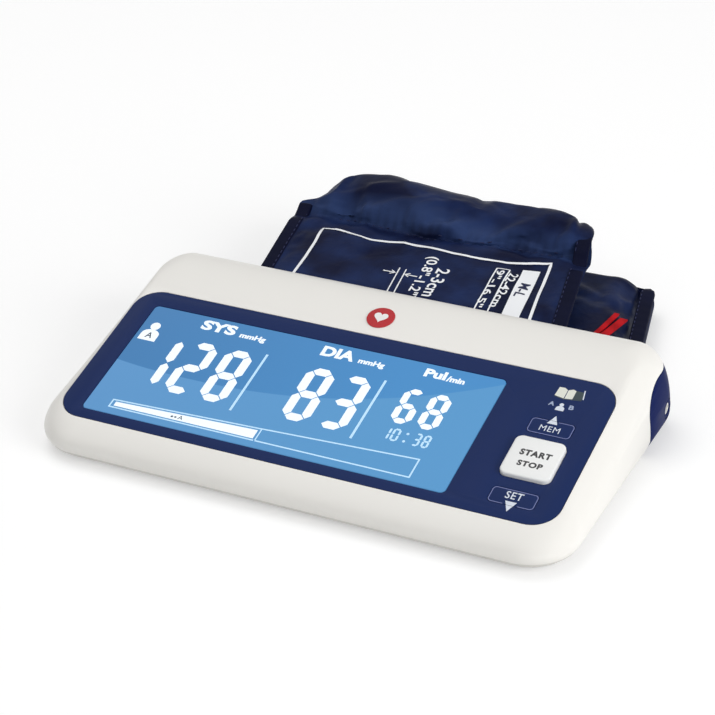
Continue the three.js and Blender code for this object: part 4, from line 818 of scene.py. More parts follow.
# Air group: a small pump with its moulded head, its valve and a manifold, joined by tubes of
# silicone that are pushed over barbs.
# White nylon is a shade creamier than the shell, and duller.
white_nylon = grained("white_moulded_nylon", "#E2E1DC", 0.5, 0.3, 0.02)
refinish(white_nylon, "pump_head", "air_manifold")
# Silicone looks milky, with a soft, greasy sheen.
silicone = grained("milky_silicone", "#D9D7CF", 0.45, 0.5, 0.01)
refinish(silicone, "air_tube", "pump_tube", "valve_tube", "sensor_tube")

# Sockets: on the left the nylon air socket for the cuff's plug; on the right the power socket, a
# ring moulded to match the housing, with a white insulating liner and a pin.
LINER = {"bore": 1.5 * MM, "deep": 4 * MM, "set_in": 0.4 * MM}

# Grey nylon is a plain, slightly dull moulding that stands out from the navy.
grey_nylon = grained("grey_moulded_nylon", "#8E9094", 0.45, 0.3, 0.02)
finished_copy("air_socket", "socket_air", grey_nylon, "cover_grey", "housing", 0.15 * MM)
finished_copy("power_socket", "socket_power", navy_abs, "black_plastic", "housing", 0.15 * MM)
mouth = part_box("power_socket")[1].x
place = side_place(POWER_SOCKET)
deep, shallow = mouth - LINER["deep"], mouth - LINER["set_in"]
liner = round_tool("liner", POWER_SOCKET["bore"] + 0.05 * MM, deep, shallow, place)
carve(liner, round_tool("liner_bore", LINER["bore"], deep - MM, mouth + MM, place))
finish_edges(liner, 0.1 * MM)
dressed(liner, "liner_power", white_nylon, "pump_white", "housing")

# Cells: four AA cells lying between springs and plates of steel, each in its shrink wrap.
# The plain grey wrap is drawn tight, so it is glossy and even.
shrink_wrap = grained("grey_shrink_wrap", "#3B4046", 0.3, 0.6, 0.005, coat=0.5)
refinish(shrink_wrap, "battery_1", "battery_2", "battery_3", "battery_4")

# Badge: a plain round red plate with a white heart, pressed out of thin sheet, enamelled and
# glued to the crown of the shell, whose curve it follows. Sizes in millimetres.
BADGE = {"x": -1.2, "v": 88.8, "radius": 5.35, "thick": 0.45, "sunk": 0.05}
HEART = {"scale": 0.17, "thick": 0.12, "points": 48}
# Rays that look for a skin start at this height, above the whole object.
ABOVE = 0.2


def skin_of(piece):
    """The faces of a finished piece, for laying things on it."""
    mesh = bmesh.new()
    mesh.from_mesh(piece.data)
    tree = BVHTree.FromBMesh(mesh)
    mesh.free()
    return tree


def dropped(skin, x, y):
    """Where a plumb line through x and y meets the skin, and the skin's normal there."""
    return skin.ray_cast(Vector((x, y, ABOVE)), Vector((0, 0, -1)))[:2]


def lay_on(piece, skin, gap):
    """Drops each point on to the skin; the point's own height is kept above it."""
    for vertex in piece.data.vertices:
        hit, normal = dropped(skin, vertex.co.x, vertex.co.y)
        if hit:
            vertex.co = hit + normal * (gap + vertex.co.z)


def disc_of_rings(name, outline, thick, rings=8):
    """A flat plate inside an outline of (x, y), with enough rings of points to be curved."""
    piece = primitive(bpy.ops.mesh.primitive_circle_add, vertices=len(outline), fill_type="NGON")
    piece.name = name
    for vertex, (x, y) in zip(piece.data.vertices, outline):
        vertex.co = (x, y, 0)
    middle = sum((Vector(point) for point in outline), Vector((0, 0))) / len(outline)
    bpy.ops.object.mode_set(mode="EDIT")
    bpy.ops.mesh.extrude_region_move(TRANSFORM_OT_translate={"value": (0, 0, thick)})
    for ring in range(rings, 0, -1):
        mesh = bmesh.from_edit_mesh(piece.data)
        bpy.ops.mesh.select_all(action="DESELECT")
        for face in mesh.faces:
            face.select_set(len(face.verts) == len(outline) and face.calc_center_median().z > thick / 2)
        bmesh.update_edit_mesh(piece.data)
        bpy.ops.mesh.extrude_region_move(TRANSFORM_OT_translate={"value": (0, 0, 0)})
        mesh = bmesh.from_edit_mesh(piece.data)
        for vertex in mesh.verts:
            if vertex.select:
                flat = Vector((vertex.co.x, vertex.co.y)) - middle
                vertex.co.x, vertex.co.y = middle + flat * (ring - 1 + 0.02) / (ring + 0.02)
        bmesh.update_edit_mesh(piece.data)
    bpy.ops.mesh.select_all(action="SELECT")
    bpy.ops.mesh.normals_make_consistent(inside=False)
    bpy.ops.object.mode_set(mode="OBJECT")
    return piece


def around_badge(points):
    """Points about the middle of the badge, as places in the plan of the part."""
    middle = panel_frame @ Vector((BADGE["x"] * MM, BADGE["v"] * MM, 0))
    return [(middle.x + x * MM, middle.y + y * MM) for x, y in points]


def heart_point(t):
    """A point of the heart's outline, t going round once from 0 to 2 pi."""
    high = 13 * math.cos(t) - 5 * math.cos(2 * t) - 2 * math.cos(3 * t) - math.cos(4 * t)
    return HEART["scale"] * 16 * math.sin(t) ** 3, HEART["scale"] * high


# Stove enamel is glass-hard: an even, deep colour under a clear gloss.
red_enamel = grained("red_stove_enamel", "#BC1420", 0.22, 0.8, 0.002, coat=0.5)
white_enamel = grained("white_stove_enamel", "#F4F2F0", 0.25, 0.8, 0.002, coat=0.5)
crown = skin_of(shell)
plate = disc_of_rings("plate", around_badge(oval(0, 0, BADGE["radius"], count=64)), BADGE["thick"] * MM)
lay_on(plate, crown, -BADGE["sunk"] * MM)
finish_edges(plate, 0.15 * MM, 60, 3)
dressed(plate, "badge_plate", red_enamel, "red_webbing", "housing")
heart_outline = [heart_point(2 * math.pi * k / HEART["points"]) for k in range(HEART["points"])]
heart = disc_of_rings("heart", around_badge(heart_outline), HEART["thick"] * MM, 5)
lay_on(heart, crown, (BADGE["thick"] - BADGE["sunk"]) * MM)
finish_edges(heart, 0)
dressed(heart, "badge_heart", white_enamel, "key_white", "housing")

# Arm cuff, upper part: two skins of coated navy nylon sewn together over a slack bladder, with
# bound side edges, folded over at its rear into a padded roll that a seam sets off.

# Sizes are in millimetres, with x from the middle, y from the front edge and z from the floor.
CUFF_START = 95.81
MOUTH = 116.2
MOUTH_PAST = 121
UPPER_HIGHEST_INSIDE = 24.75
SEAM_Y = 164.0
FLAT = {"height": 23.9, "climb": math.radians(7), "thick": 10.4, "core": 0.8, "dip": 2.4, "dip_over": 7}
END_ROUND = 6
# The sides run straight as far as this, and then draw in towards the rear.
TAPER_START = 110
LEFT = {"x": -70.8, "taper": 0.147, "sewn_in": 9, "sewn_from": 171, "round_in": 5, "round_over": 13}
RIGHT = {"x": 60, "taper": 0.196, "corner": 12, "corner_from": 180}
SEWN_OVER = 7
ROLL = {"y": 180.5, "z": 28.9, "half_length": 16.5, "half_height": 10.0, "lean": 1.55}
# Half the length and height of the ovals that the roll's left and right edges follow.
CORES = ((11.0, 1.0), (12.6, 4.9))
# How much higher or lower the roll stands, as (x, rise).
ROLL_SWELL = ((-80, 0), (-72, -0.3), (-66, -0.1), (-62, -0.8), (-57, -0.8), (-52, -0.2), (-46, 0.5),
              (-41, 1.0), (-36, 1.3), (-25, 1.55), (-20, 1.5), (-15, 1.3), (-9, 0.4), (-4, -1.0),
              (1, -1.7), (7, -2.3), (13, -2.35), (20, -2.0), (28, -1.2), (34, -1.4), (39, 1.4), (48, 0))
# The bound bands at the sides: their width, how full they are, and how soon they round over.
BAND = 6.0
BAND_SHARE = 0.16
BAND_ROUND = 2.4
# Nothing swells in front of this, inside the bay.
HELD_BEFORE = 108
CLOTH_FRAMES = 20
# The edges hold rows of points at these distances, closer together where the skin curves most.
NEAR_EDGE = [0, 0.8, 2.4, 4.2, 6, 7.5, 9.5, 12, 15, 18.5]

# Coated nylon: a dark, creased cloth with a soft sheen. Its paler patches are painted sheen,
# and the front face of the roll is painted lighter, as if lit from the front.
NYLON_DARK, NYLON_PAINTED_SHEEN, NYLON_PAINTED_LIGHT = "#0F1430", "#1C2B54", "#2F4069"
# Threads lie 0.25 mm apart on the real cloth, which is too fine to show; they are drawn as soft
# ribs this far apart.
THREADS_APART = 3.788 * MM
# Where the front face of the roll is painted lighter, as if lit: the axis, and the places in millimetres
# between which that sets in.
PAINTED_LIGHT_ZONE = ((1, 65, 68), (1, 78, 71), (2, 26, 29))


def wave_scale(apart):
    """The scale at which a wave node's bands lie this far apart; it runs through 20 radians
    for each unit of its scale."""
    return 2 * math.pi / 20 / apart


nylon, tree, shader = started("coated_navy_nylon")
place = add(tree, "ShaderNodeTexCoord").outputs["Object"]
cloud = add(tree, "ShaderNodeTexNoise", {"Vector": place, "Scale": 45.0, "Detail": 3.0})
# Paler patches at random places: painted sheen, not a tone of the cloth.
painted_sheen_patch = add(tree, "ShaderNodeMapRange", {"Value": cloud.outputs["Fac"], "From Min": 0.4, "From Max": 0.66})
shade = add(tree, "ShaderNodeMix", {
    0: painted_sheen_patch.outputs[0], 6: linear(NYLON_DARK), 7: linear(NYLON_PAINTED_SHEEN)}, data_type="RGBA")
apart = add(tree, "ShaderNodeSeparateXYZ", {0: place})
# The front face of the roll is painted lighter, up to this share: painted light, not a colour of the cloth.
painted_light = 0.85
for axis, start, end in PAINTED_LIGHT_ZONE:
    near = add(tree, "ShaderNodeMapRange", {
        "Value": apart.outputs[axis], "From Min": start * MM, "From Max": end * MM})
    painted_light = add(tree, "ShaderNodeMath", {0: near.outputs[0], 1: painted_light}, operation="MULTIPLY").outputs[0]
shade = add(tree, "ShaderNodeMix", {0: painted_light, 6: shade.outputs[2], 7: linear(NYLON_PAINTED_LIGHT)}, data_type="RGBA")
threads = {"Vector": place, "Scale": wave_scale(THREADS_APART)}
warp, weft = [add(tree, "ShaderNodeTexWave", threads, bands_direction=way) for way in "XY"]
weave = add(tree, "ShaderNodeMath", {0: warp.outputs["Fac"], 1: weft.outputs["Fac"]}, operation="MAXIMUM")
crush = add(tree, "ShaderNodeTexNoise", {"Vector": place, "Scale": 130.0, "Detail": 4.0, "Distortion": 0.6})
fine = add(tree, "ShaderNodeBump", {"Height": weave.outputs[0], "Strength": 0.25, "Distance": 0.05 * MM})
soft = add(tree, "ShaderNodeBump", {
    "Height": crush.outputs["Fac"], "Strength": 0.5, "Distance": 0.6 * MM, "Normal": fine.outputs[0]})
gloss = add(tree, "ShaderNodeMapRange", {"Value": cloud.outputs["Fac"], "To Min": 0.34, "To Max": 0.5})
feed(tree, shader, {
    "Base Color": shade.outputs[2], "Roughness": gloss.outputs[0], "Normal": soft.outputs[0],
    "IOR": 1.25, "Specular IOR Level": 0.4, "Specular Tint": linear("#B9C8F2")})


def clamped(value, low=0, high=1):
    return min(max(value, low), high)


def smooth(value):
    """A soft step from 0 to 1."""
    value = clamped(value)
    return value * value * (3 - 2 * value)


def rise_over(run, power):
    """How full the padding is at a distance from its band, steep at first."""
    return lambda d: 1 - (1 - clamped(d / run)) ** power


def rounded_rise(run):
    """The same, as the quarter of a circle."""
    return lambda d: math.sqrt(1 - (1 - clamped(d / run)) ** 2)


def upper_left(y):
    """The left edge, which narrows to the rear and turns in where the roll is sewn up."""
    sewn_up = LEFT["sewn_from"] + SEWN_OVER
    inward = LEFT["sewn_in"] * smooth((y - LEFT["sewn_from"]) / SEWN_OVER)
    inward += LEFT["round_in"] * (max(y - sewn_up, 0) / LEFT["round_over"]) ** 2
    return LEFT["x"] - LEFT["taper"] * max(y - TAPER_START, 0) + inward


def upper_right(y):
    """The right edge, which narrows to the rear and ends in a round corner."""
    corner, past = RIGHT["corner"], max(y - RIGHT["corner_from"], 0)
    line = RIGHT["x"] - RIGHT["taper"] * max(y - TAPER_START, 0)
    return line - corner + math.sqrt(max(corner ** 2 - past ** 2, 0))


def tail_top(y):
    """The height of the tail under the upper part."""
    return 12.8 + 0.03 * (y - CUFF_START)


def upper_profile(flat_steps=30, roll_steps=34):
    """The cuff from its inner end to the far side of its roll. Each station has four points
    (y, z): the left edge, the upper skin, the lower skin and the right edge."""
    stations = []
    for k in range(flat_steps):
        y = CUFF_START + (SEAM_Y - CUFF_START) * k / (flat_steps - 1)
        full = FLAT["height"] + math.tan(FLAT["climb"]) * (y - MOUTH)
        dip = FLAT["dip"] * smooth((y - SEAM_Y + FLAT["dip_over"]) / FLAT["dip_over"])
        top = full - dip
        under = max(full - FLAT["thick"], tail_top(y) + 0.4)
        core = full - FLAT["core"] - dip
        end = math.sin(math.pi / 2 * min((y - CUFF_START) / END_ROUND, 1))
        stations.append((
            (y, core), (y, core + (top - core) * end), (y, core + (under - core) * end), (y, core)))
    half_length, half_height = ROLL["half_length"], ROLL["half_height"]
    for k in range(1, roll_steps + 1):
        share = k / roll_steps
        over, inner, below = [math.radians(start + (end - start) * share) for start, end in (
            (178, -40), (172, -40), (238, 320))]
        front_lean = ROLL["lean"] if over > math.pi / 2 else 1
        stations.append(tuple(
            (ROLL["y"] + length * math.copysign(abs(math.cos(angle)) ** lean, math.cos(angle)),
             ROLL["z"] + height * math.copysign(abs(math.sin(angle)) ** lean, math.sin(angle)))
            for angle, length, height, lean in (
                (inner, *CORES[0], 1), (over, half_length, half_height, front_lean),
                (below, half_length, half_height, 1), (inner, *CORES[1], 1))))
    return stations


def upper_swell(x, y, z):
    """The roll isn't even: it stands fuller left of its middle and sinks right of it."""
    share = smooth((y - SEAM_Y) / 8) * clamped((z - 20) / 18)
    for (start, low), (end, high) in zip(ROLL_SWELL, ROLL_SWELL[1:]):
        if start <= x < end:
            return share * (low + (high - low) * (x - start) / (end - start))
    return 0


def seam_shift(x, y, z):
    """How far behind its straight line the seam under the roll wanders, in millimetres."""
    wander = 3.2 - 3.5 * math.exp(-((x + 17) / 12) ** 2) + 2.5 * math.exp(-((x + 57) / 8) ** 2)
    wander += 4.5 * smooth(x / 20)
    return 0.75 * wander * math.exp(-((y - SEAM_Y) / 9) ** 2 - (max(z - 28.5, 0) / 9) ** 2)


def seam_line(x):
    """Where the seam under the roll lies, in millimetres of the part frame."""
    return SEAM_Y + FRONT / MM + seam_shift(x, SEAM_Y, 27)


def padded_form(name, stations, left, right, rises, bands, swell, shift=None, middle=40):
    """Two skins that meet at their edges: thin over the bands at the sides, full between them.
    Returns the piece and the points that its seams hold."""
    points, held, index, faces = [], [], {}, []

    def point(x, y, z, hold):
        key = (round(x, 3), round(y, 3), round(z, 3))
        if key not in index:
            index[key] = len(points)
            points.append((x * MM, y * MM, z * MM))
            if hold:
                held.append(index[key])
        return index[key]

    for skin in (1, 2):
        rows = []
        for station in stations:
            y, z = station[skin]
            start, end = left(station[0][0]), right(station[-1][0])
            reach = end - start - 2 * NEAR_EDGE[-1]
            xs = [start + d for d in NEAR_EDGE]
            xs += [start + NEAR_EDGE[-1] + reach * k / middle for k in range(1, middle)]
            xs += [end - d for d in reversed(NEAR_EDGE)]
            row = []
            for x in xs:
                across = smooth((x - start) / (end - start))
                core_y, core_z = [a + (b - a) * across for a, b in zip(station[0], station[-1])]
                share, edge = 1, False
                for d, rise, width in zip((x - start, end - x), rises, bands):
                    band = BAND_SHARE * math.sqrt(max(1 - (1 - min(d / BAND_ROUND, 1)) ** 2, 0))
                    share *= band + (1 - band) * rise(d - width(core_y))
                    edge = edge or d <= width(core_y) + 0.01
                here_y = core_y + (y - core_y) * share
                here_z = core_z + (z - core_z) * share
                if shift and skin == 1:
                    here_y += shift(x, here_y, here_z)
                hold = edge or core_y < HELD_BEFORE or (skin == 1 and abs(core_y - SEAM_Y) < 1)
                row.append(point(x, here_y, here_z + swell(x, here_y, here_z), hold))
            rows.append(row)
        for row, after in zip(rows, rows[1:]):
            for k in range(len(row) - 1):
                corners = tuple(dict.fromkeys((row[k], row[k + 1], after[k + 1], after[k])))
                if len(corners) > 2:
                    faces.append(corners)
    return mesh_piece(name, points, faces, level_frame), held


def shade_soft(piece):
    """Shades the whole of a soft piece smooth, with no sharp edge in it."""
    for face in piece.data.polygons:
        face.use_smooth = True


def filled(piece, held, cap):
    """Lets the sewn skins swell over their filling, with the held points fixed, and keeps the
    result; no point moves further than the cap, a function of its y in the part frame."""
    before = [vertex.co.copy() for vertex in piece.data.vertices]
    piece.vertex_groups.new(name="held").add(held, 1.0, "REPLACE")
    cloth = piece.modifiers.new("filling", "CLOTH")
    cloth.settings.vertex_group_mass = "held"
    cloth.settings.use_pressure = True
    cloth.settings.uniform_pressure_force = 4
    cloth.settings.shrink_min = -0.05
    cloth.settings.effector_weights.gravity = 0
    cloth.settings.quality = 6
    cloth.settings.bending_stiffness = 0.3
    cloth.collision_settings.use_collision = False
    for number in range(1, CLOTH_FRAMES + 1):
        bpy.context.scene.frame_set(number)
    select_only(piece)
    bpy.ops.object.modifier_apply(modifier="filling")
    bpy.context.scene.frame_set(1)
    for vertex, start in zip(piece.data.vertices, before):
        move = vertex.co - start
        most = cap(start.y / MM) * MM
        if move.length > most:
            vertex.co = start + move * (most / move.length)
    piece.vertex_groups.clear()
    modified(piece, "SUBSURF", levels=1, render_levels=1)
    shade_soft(piece)


def creased(piece, folds, low):
    """Presses soft folds into the upper skin: each runs from one (x, y) to another, part frame,
    with a width and a depth in millimetres, a ridge where the depth is positive."""
    piece.data.update()
    moves = []
    for vertex in piece.data.vertices:
        here = Vector((vertex.co.x, vertex.co.y)) / MM
        lift = 0
        if vertex.normal.z > 0.15 and vertex.co.z > low * MM:
            for start, end, width, depth in folds:
                start, along = Vector(start), Vector(end) - Vector(start)
                share = (here - start).dot(along) / along.length_squared
                away = (here - start - along * clamped(share)).length / width
                lift += depth * math.exp(-away * away) * math.sin(math.pi * clamped(share * 0.8 + 0.1))
        moves.append(vertex.normal * lift * MM)
    for vertex, move in zip(piece.data.vertices, moves):
        vertex.co += move


def kept_in_bay(piece, highest):
    """Presses flat what lies inside the bay, so that it stays clear of the bay's roof."""
    for vertex in piece.data.vertices:
        if vertex.co.y < FRONT + MOUTH_PAST * MM:
            vertex.co.z = min(vertex.co.z, highest * MM)


# The folds seen on the flat part and the roll, then the groove of the seam and its puckers.
UPPER_FOLDS = [
    ((-70, 74), (-40, 84), 2.2, 1.0), ((-62, 70), (-30, 78), 2.4, -0.9), ((-30, 71), (-8, 84), 2.2, 0.9),
    ((-22, 67), (-6, 76), 1.8, -0.9), ((-14, 66), (4, 80), 2.4, 0.8), ((8, 72), (24, 82), 3.0, 0.5),
    ((30, 76), (40, 73), 2.4, 0.5), ((-46, 68), (-52, 78), 1.8, 0.8),
    ((-20, 61), (-10, 66), 1.6, 0.5), ((36, 62), (40, 70), 1.6, 0.5),
    ((-66, 40), (-63, 62), 1.6, -0.6), ((-62, 62), (-56, 68), 1.8, -0.6),
    *[((x, seam_line(x)), (x + 4, seam_line(x + 4)), 1.3, -0.7) for x in range(-68, 40, 4)],
    *[((x, seam_line(x) - 4), (x + 1.5, seam_line(x) + 4.5), 1.2, 0.75) for x in range(-66, 40, 4)]]

def even_band(y):
    return BAND


def left_band(y):
    """The left band ends where the side of the roll is sewn up."""
    return BAND * (1 - smooth((y - LEFT["sewn_from"] + 1) / SEWN_OVER))


def upper_cap(y):
    """How far a point may swell: a little on the flat part, more on the roll."""
    return 0.7 + 1.4 * smooth((y - 64) / 5)


stations = upper_profile()
upper, upper_held = padded_form(
    "upper", stations, upper_left, upper_right, (rise_over(16, 2.2), rounded_rise(8)),
    (left_band, even_band), upper_swell, seam_shift)
filled(upper, upper_held, upper_cap)
creased(upper, UPPER_FOLDS, 22)
kept_in_bay(upper, UPPER_HIGHEST_INSIDE)
dressed(upper, "cuff_upper_pad", nylon, "navy_nylon", "cuff", "cuff_upper")

# Arm cuff, tail: the other end of the same padded nylon sleeve, lying flat under the upper part
# and coming out to its right. Its corners are soft and its rear end sags.
TAIL_END = 189.0
TAIL = {"right": 88.5, "taper": 0.235, "width": 136.8, "corner": 2.5, "core": 10.0, "under": 3.4, "ends": 5}
TAIL_LOWEST = 3.3
TAIL_SAG = 1.9
TAIL_CAP = 1.2
TAIL_HIGHEST_INSIDE = 14.2
TAIL_FOLDS = [
    ((58, 56), (64, 76), 1.8, 0.8), ((63, 62), (70, 74), 1.6, -0.7),
    ((54, 60), (56, 80), 2.0, -0.6), ((60, 70), (70, 80), 1.8, 0.6)]


def tail_side(y):
    """The straight line of the tail's right side, and how far its corner has rounded in."""
    corner = TAIL["corner"]
    round_off = clamped(y - (TAIL_END - corner), 0, corner)
    line = TAIL["right"] - TAIL["taper"] * max(y - TAPER_START, 0)
    return line, corner - math.sqrt(corner ** 2 - round_off ** 2)


def tail_right(y):
    line, rounded = tail_side(y)
    return line - rounded


def tail_left(y):
    line, rounded = tail_side(y)
    return line - TAIL["width"] + rounded


def tail_profile(steps=40):
    """The tail from its inner end to its rear end, as the upper part's stations."""
    stations = []
    for k in range(steps):
        y = CUFF_START + (TAIL_END - CUFF_START) * math.sin(math.pi / 2 * (k / (steps - 1)) ** 0.85)
        top, under, core = tail_top(y), TAIL["under"], TAIL["core"]
        ends = math.sin(math.pi / 2 * min((y - CUFF_START) / END_ROUND, 1))
        ends *= math.sqrt(max(1 - max((y - TAIL_END + TAIL["ends"]) / TAIL["ends"], 0) ** 2, 0))
        stations.append(((y, core), (y, core + (top - core) * ends), (y, core + (under - core) * ends)))
    return stations


def tail_swell(x, y, z):
    """The free corner of the tail hangs a little."""
    share = smooth((y - 150) / 20) * smooth((z - 8) / 5)
    return -share * TAIL_SAG * smooth((x - 56) / 16)


lower, lower_held = padded_form(
    "lower", tail_profile(), tail_left, tail_right, (rounded_rise(12), rounded_rise(12)),
    (even_band, even_band), tail_swell)
filled(lower, lower_held, lambda y: TAIL_CAP)
creased(lower, TAIL_FOLDS, 8)
kept_in_bay(lower, TAIL_HIGHEST_INSIDE)
for vertex in lower.data.vertices:
    vertex.co.z = max(vertex.co.z, TAIL_LOWEST * MM)
dressed(lower, "cuff_tail_pad", nylon, "navy_nylon", "cuff", "cuff_lower")

# Bindings: a folded navy tape sewn round each side edge of the cuff, with a row of stitches
# near its inner edge. Sizes in millimetres.
TAPE = {"width": 6.0, "thick": 2.0, "corner": 0.95, "seam": 2.2}
STITCH = {"first": 4.0, "pitch": 3.2, "half_size": (1.1, 0.28, 0.22)}
# The ribs are 0.4 mm apart on the real tape, too fine to show, and are drawn this far apart.
RIBS_APART = 5.655 * MM

# Ribbed tape: darker and duller than the nylon, as it has no coating, with faint ribs across.
tape, tree, shader = started("ribbed_navy_tape")
place = add(tree, "ShaderNodeTexCoord").outputs["Object"]
cloud = add(tree, "ShaderNodeTexNoise", {"Vector": place, "Scale": 60.0, "Detail": 2.0})
shade = add(tree, "ShaderNodeMix", {
    0: cloud.outputs["Fac"], 6: linear("#080B1E"), 7: linear("#0D1230")}, data_type="RGBA")
ribs = add(tree, "ShaderNodeTexWave", {
    "Vector": place, "Scale": wave_scale(RIBS_APART)}, bands_direction="Y")
bump = add(tree, "ShaderNodeBump", {"Height": ribs.outputs["Fac"], "Strength": 0.4, "Distance": 0.12 * MM})
feed(tree, shader, {"Base Color": shade.outputs[2], "Normal": bump.outputs[0], "Roughness": 0.6, "IOR": 1.2})
# Sewing thread shows as small, matt, slightly lighter dashes on the cloth.
thread = grained("navy_sewing_thread", "#141C46", 0.5, 0.2, 0.02)


def way_along(points, k):
    """The way a line of points runs at one of them."""
    return (points[min(k + 1, len(points) - 1)] - points[max(k - 1, 0)]).normalized()


def tape_section(steps=4):
    """The tape's cross section, a rounded rectangle of (across, up)."""
    half, high, corner = TAPE["width"] / 2, TAPE["thick"] / 2, TAPE["corner"]
    section = []
    for sx, sy, start in ((1, 1, 0), (-1, 1, 90), (-1, -1, 180), (1, -1, 270)):
        for k in range(steps + 1):
            angle = math.radians(start + 90 * k / steps)
            section.append((sx * (half - corner) + corner * math.cos(angle),
                            sy * (high - corner) + corner * math.sin(angle)))
    return section


def stitched(name, seams, frame_of=Matrix.Identity(4)):
    """A row of stitches along a seam, whose points each have the ways along and up."""
    mesh = bmesh.new()
    size = Matrix.Diagonal((*[value * MM for value in STITCH["half_size"]], 1))
    travelled, due = 0, STITCH["first"]
    for (here, along, up), (after, *_) in zip(seams, seams[1:]):
        step = (after - here).length
        while due <= travelled + step:
            at = here + along * (due - travelled)
            turn = Matrix((along, up.cross(along), up)).transposed().to_4x4()
            place = Matrix.Translation(at * MM) @ turn @ size
            bmesh.ops.create_uvsphere(mesh, u_segments=6, v_segments=4, radius=1, matrix=place)
            due += STITCH["pitch"]
        travelled += step
    sewn = linked(name, bpy.data.meshes.new(name))
    mesh.to_mesh(sewn.data)
    mesh.free()
    sewn.data.transform(frame_of)
    dressed(sewn, name, thread, "navy_nylon", "cuff")


def bound_edge(name, path, inward):
    """A tape along the path of (x, y, z) and its row of stitches; inward is 1 or -1 along x."""
    path = [Vector(point) for point in path]
    rings, seams = [], []
    for k, here in enumerate(path):
        along = way_along(path, k)
        across = (Vector((1, 0, 0)) - along * along.x).normalized()
        up = across.cross(along)
        shrink = (0.45, 0.85, 1)[min(k, len(path) - 1 - k, 2)]
        ring = [here + across * a * shrink + up * b * shrink for a, b in tape_section()]
        rings.append([tuple(point * MM) for point in ring])
        seams.append((here + across * inward * TAPE["seam"] + up * (TAPE["thick"] / 2), along, up))
    piece = mesh_piece(name, *lofted(rings), level_frame)
    shade_soft(piece)
    dressed(piece, name, tape, "navy_nylon", "cuff")
    stitched(name + "_stitches", seams, level_frame)


half_tape = TAPE["width"] / 2
left_path = [station[0] for station in stations if station[0][0] < 173.5][:34]
right_path = [station[-1] for station in stations[:-1]]
tail_path = [(y, TAIL["core"]) for y in [CUFF_START + 2 * k for k in range(48)] if y < TAIL_END - 1]
bound_edge("binding_left", [(upper_left(y) + half_tape, y, z - 0.4) for y, z in left_path], 1)
bound_edge("binding_right", [(upper_right(y) - half_tape, y, z - 0.4) for y, z in right_path], -1)
bound_edge("binding_tail_right", [(tail_right(y) - half_tape, y, z) for y, z in tail_path], -1)
bound_edge("binding_tail_left", [(tail_left(y) + half_tape, y, z) for y, z in tail_path], 1)

# Seam under the roll: the row of stitches of the same thread that sets the roll off from the
# flat part of the cuff, lying in the seam's groove.
upper_skin = skin_of(upper)
seam_row = []
for x in range(-66, 42, 2):
    hit, up = dropped(upper_skin, x * MM, (seam_line(x) - 0.4) * MM)
    ahead = Vector((2, seam_line(x + 2) - seam_line(x), 0)).normalized()
    across = up.cross(ahead).normalized()
    seam_row.append((hit / MM, across.cross(up), up))
stitched("roll_seam_stitches", seam_row)

# Cuff label: a guide to the cuff's size, printed in white on the upper skin in front of the
# roll: a frame that runs on into the bay, a size block and cells with plain measures.
LABEL_GAP = 0.2 * MM
LABEL_THICK = 0.04 * MM
LABEL_START = 1.0
LABEL_TURN = math.radians(-85)
SIZE_LIFT = 0.12 * MM

# Fabric ink is matt and opaque, and takes the folds of the cloth under it.
fabric_ink = grained("white_fabric_ink", "#F3F5F8", 0.6, 0.3, 0.01)
navy_ink = grained("navy_fabric_ink", "#1B2348", 0.6, 0.3, 0.01)


def ribbons(name, lines):
    """Printed lines, each a list of (x, y) with a width, laid on the cuff in short steps."""
    points, faces = [], []
    for line, width in lines:
        line = [Vector(point) for point in line]
        spots = []
        for start, end in zip(line, line[1:]):
            count = max(int((end - start).length / 1.5), 1)
            spots += [start + (end - start) * k / count for k in range(count)]
        spots.append(line[-1])
        columns = max(int(width / 1.6), 1)
        first = len(points)
        for k, here in enumerate(spots):
            along = way_along(spots, k)
            side = Vector((-along.y, along.x))
            for c in range(columns + 1):
                spot = here + side * width * (c / columns - 0.5)
                points.append((spot.x * MM, spot.y * MM, 0))
        for k in range(len(spots) - 1):
            for c in range(columns):
                a = first + k * (columns + 1) + c
                faces.append((a, a + 1, a + columns + 2, a + columns + 1))
    mesh = bpy.data.meshes.new(name)
    mesh.from_pydata(points, [], faces)
    piece = linked(name, mesh)
    lay_on(piece, upper_skin, LABEL_GAP)
    open_all(piece)
    bpy.ops.mesh.remove_doubles(threshold=0.001 * MM)
    bpy.ops.object.mode_set(mode="OBJECT")
    for face in piece.data.polygons:
        if face.normal.z < 0:
            face.flip()
    modified(piece, "SOLIDIFY", thickness=LABEL_THICK, offset=1)
    dressed(piece, name, fabric_ink, "navy_nylon", "cuff")


ribbons("label_frame", [([
    (-54.4, LABEL_START), (-56.6, 20), (-57.4, 34), (-58.6, 45), (-60.8, 56.8), (-54.7, 56.3),
    (-46.3, 55.6), (-38, 55.2), (-30.6, 56.2), (-25, 57.6), (-18.9, 56.8), (-10.5, 55.6), (-2.3, 54.8),
    (5.3, 55.1), (12.4, 56.5), (19.9, 57.0), (26.8, 58.6), (33.5, 60.7), (36.6, 61.7), (38.4, 51),
    (40.4, 39.5), (43.9, 20), (47.2, LABEL_START)], 1.2)])
ribbons("label_cells", [
    ([(18.1, 51.4), (21.1, 20), (22.9, LABEL_START)], 0.6),
    ([(23.1, 52.4), (26.6, 20), (28.7, LABEL_START)], 0.6),
    ([(18.1, 51.4), (23.1, 52.4)], 0.5),
    ([(-17.9, 38.75), (-15.5, 20), (-13.1, LABEL_START)], 0.5),
    ([(-15.0, 38.5), (-12.6, 20), (-10.2, LABEL_START)], 0.5),
    ([(-23.5, 35.2), (-18.4, 35.2)], 0.5), ([(-14.0, 35.2), (-8.8, 35.2)], 0.5),
    ([(-20.2, 36.4), (-18.2, 35.2), (-20.2, 34.0)], 0.5),
    ([(-12.2, 36.4), (-14.2, 35.2), (-12.2, 34.0)], 0.5)])
ribbons("label_size_block", [([(31.2, 54.9), (36.0, 20), (38.6, LABEL_START)], 7.0)])

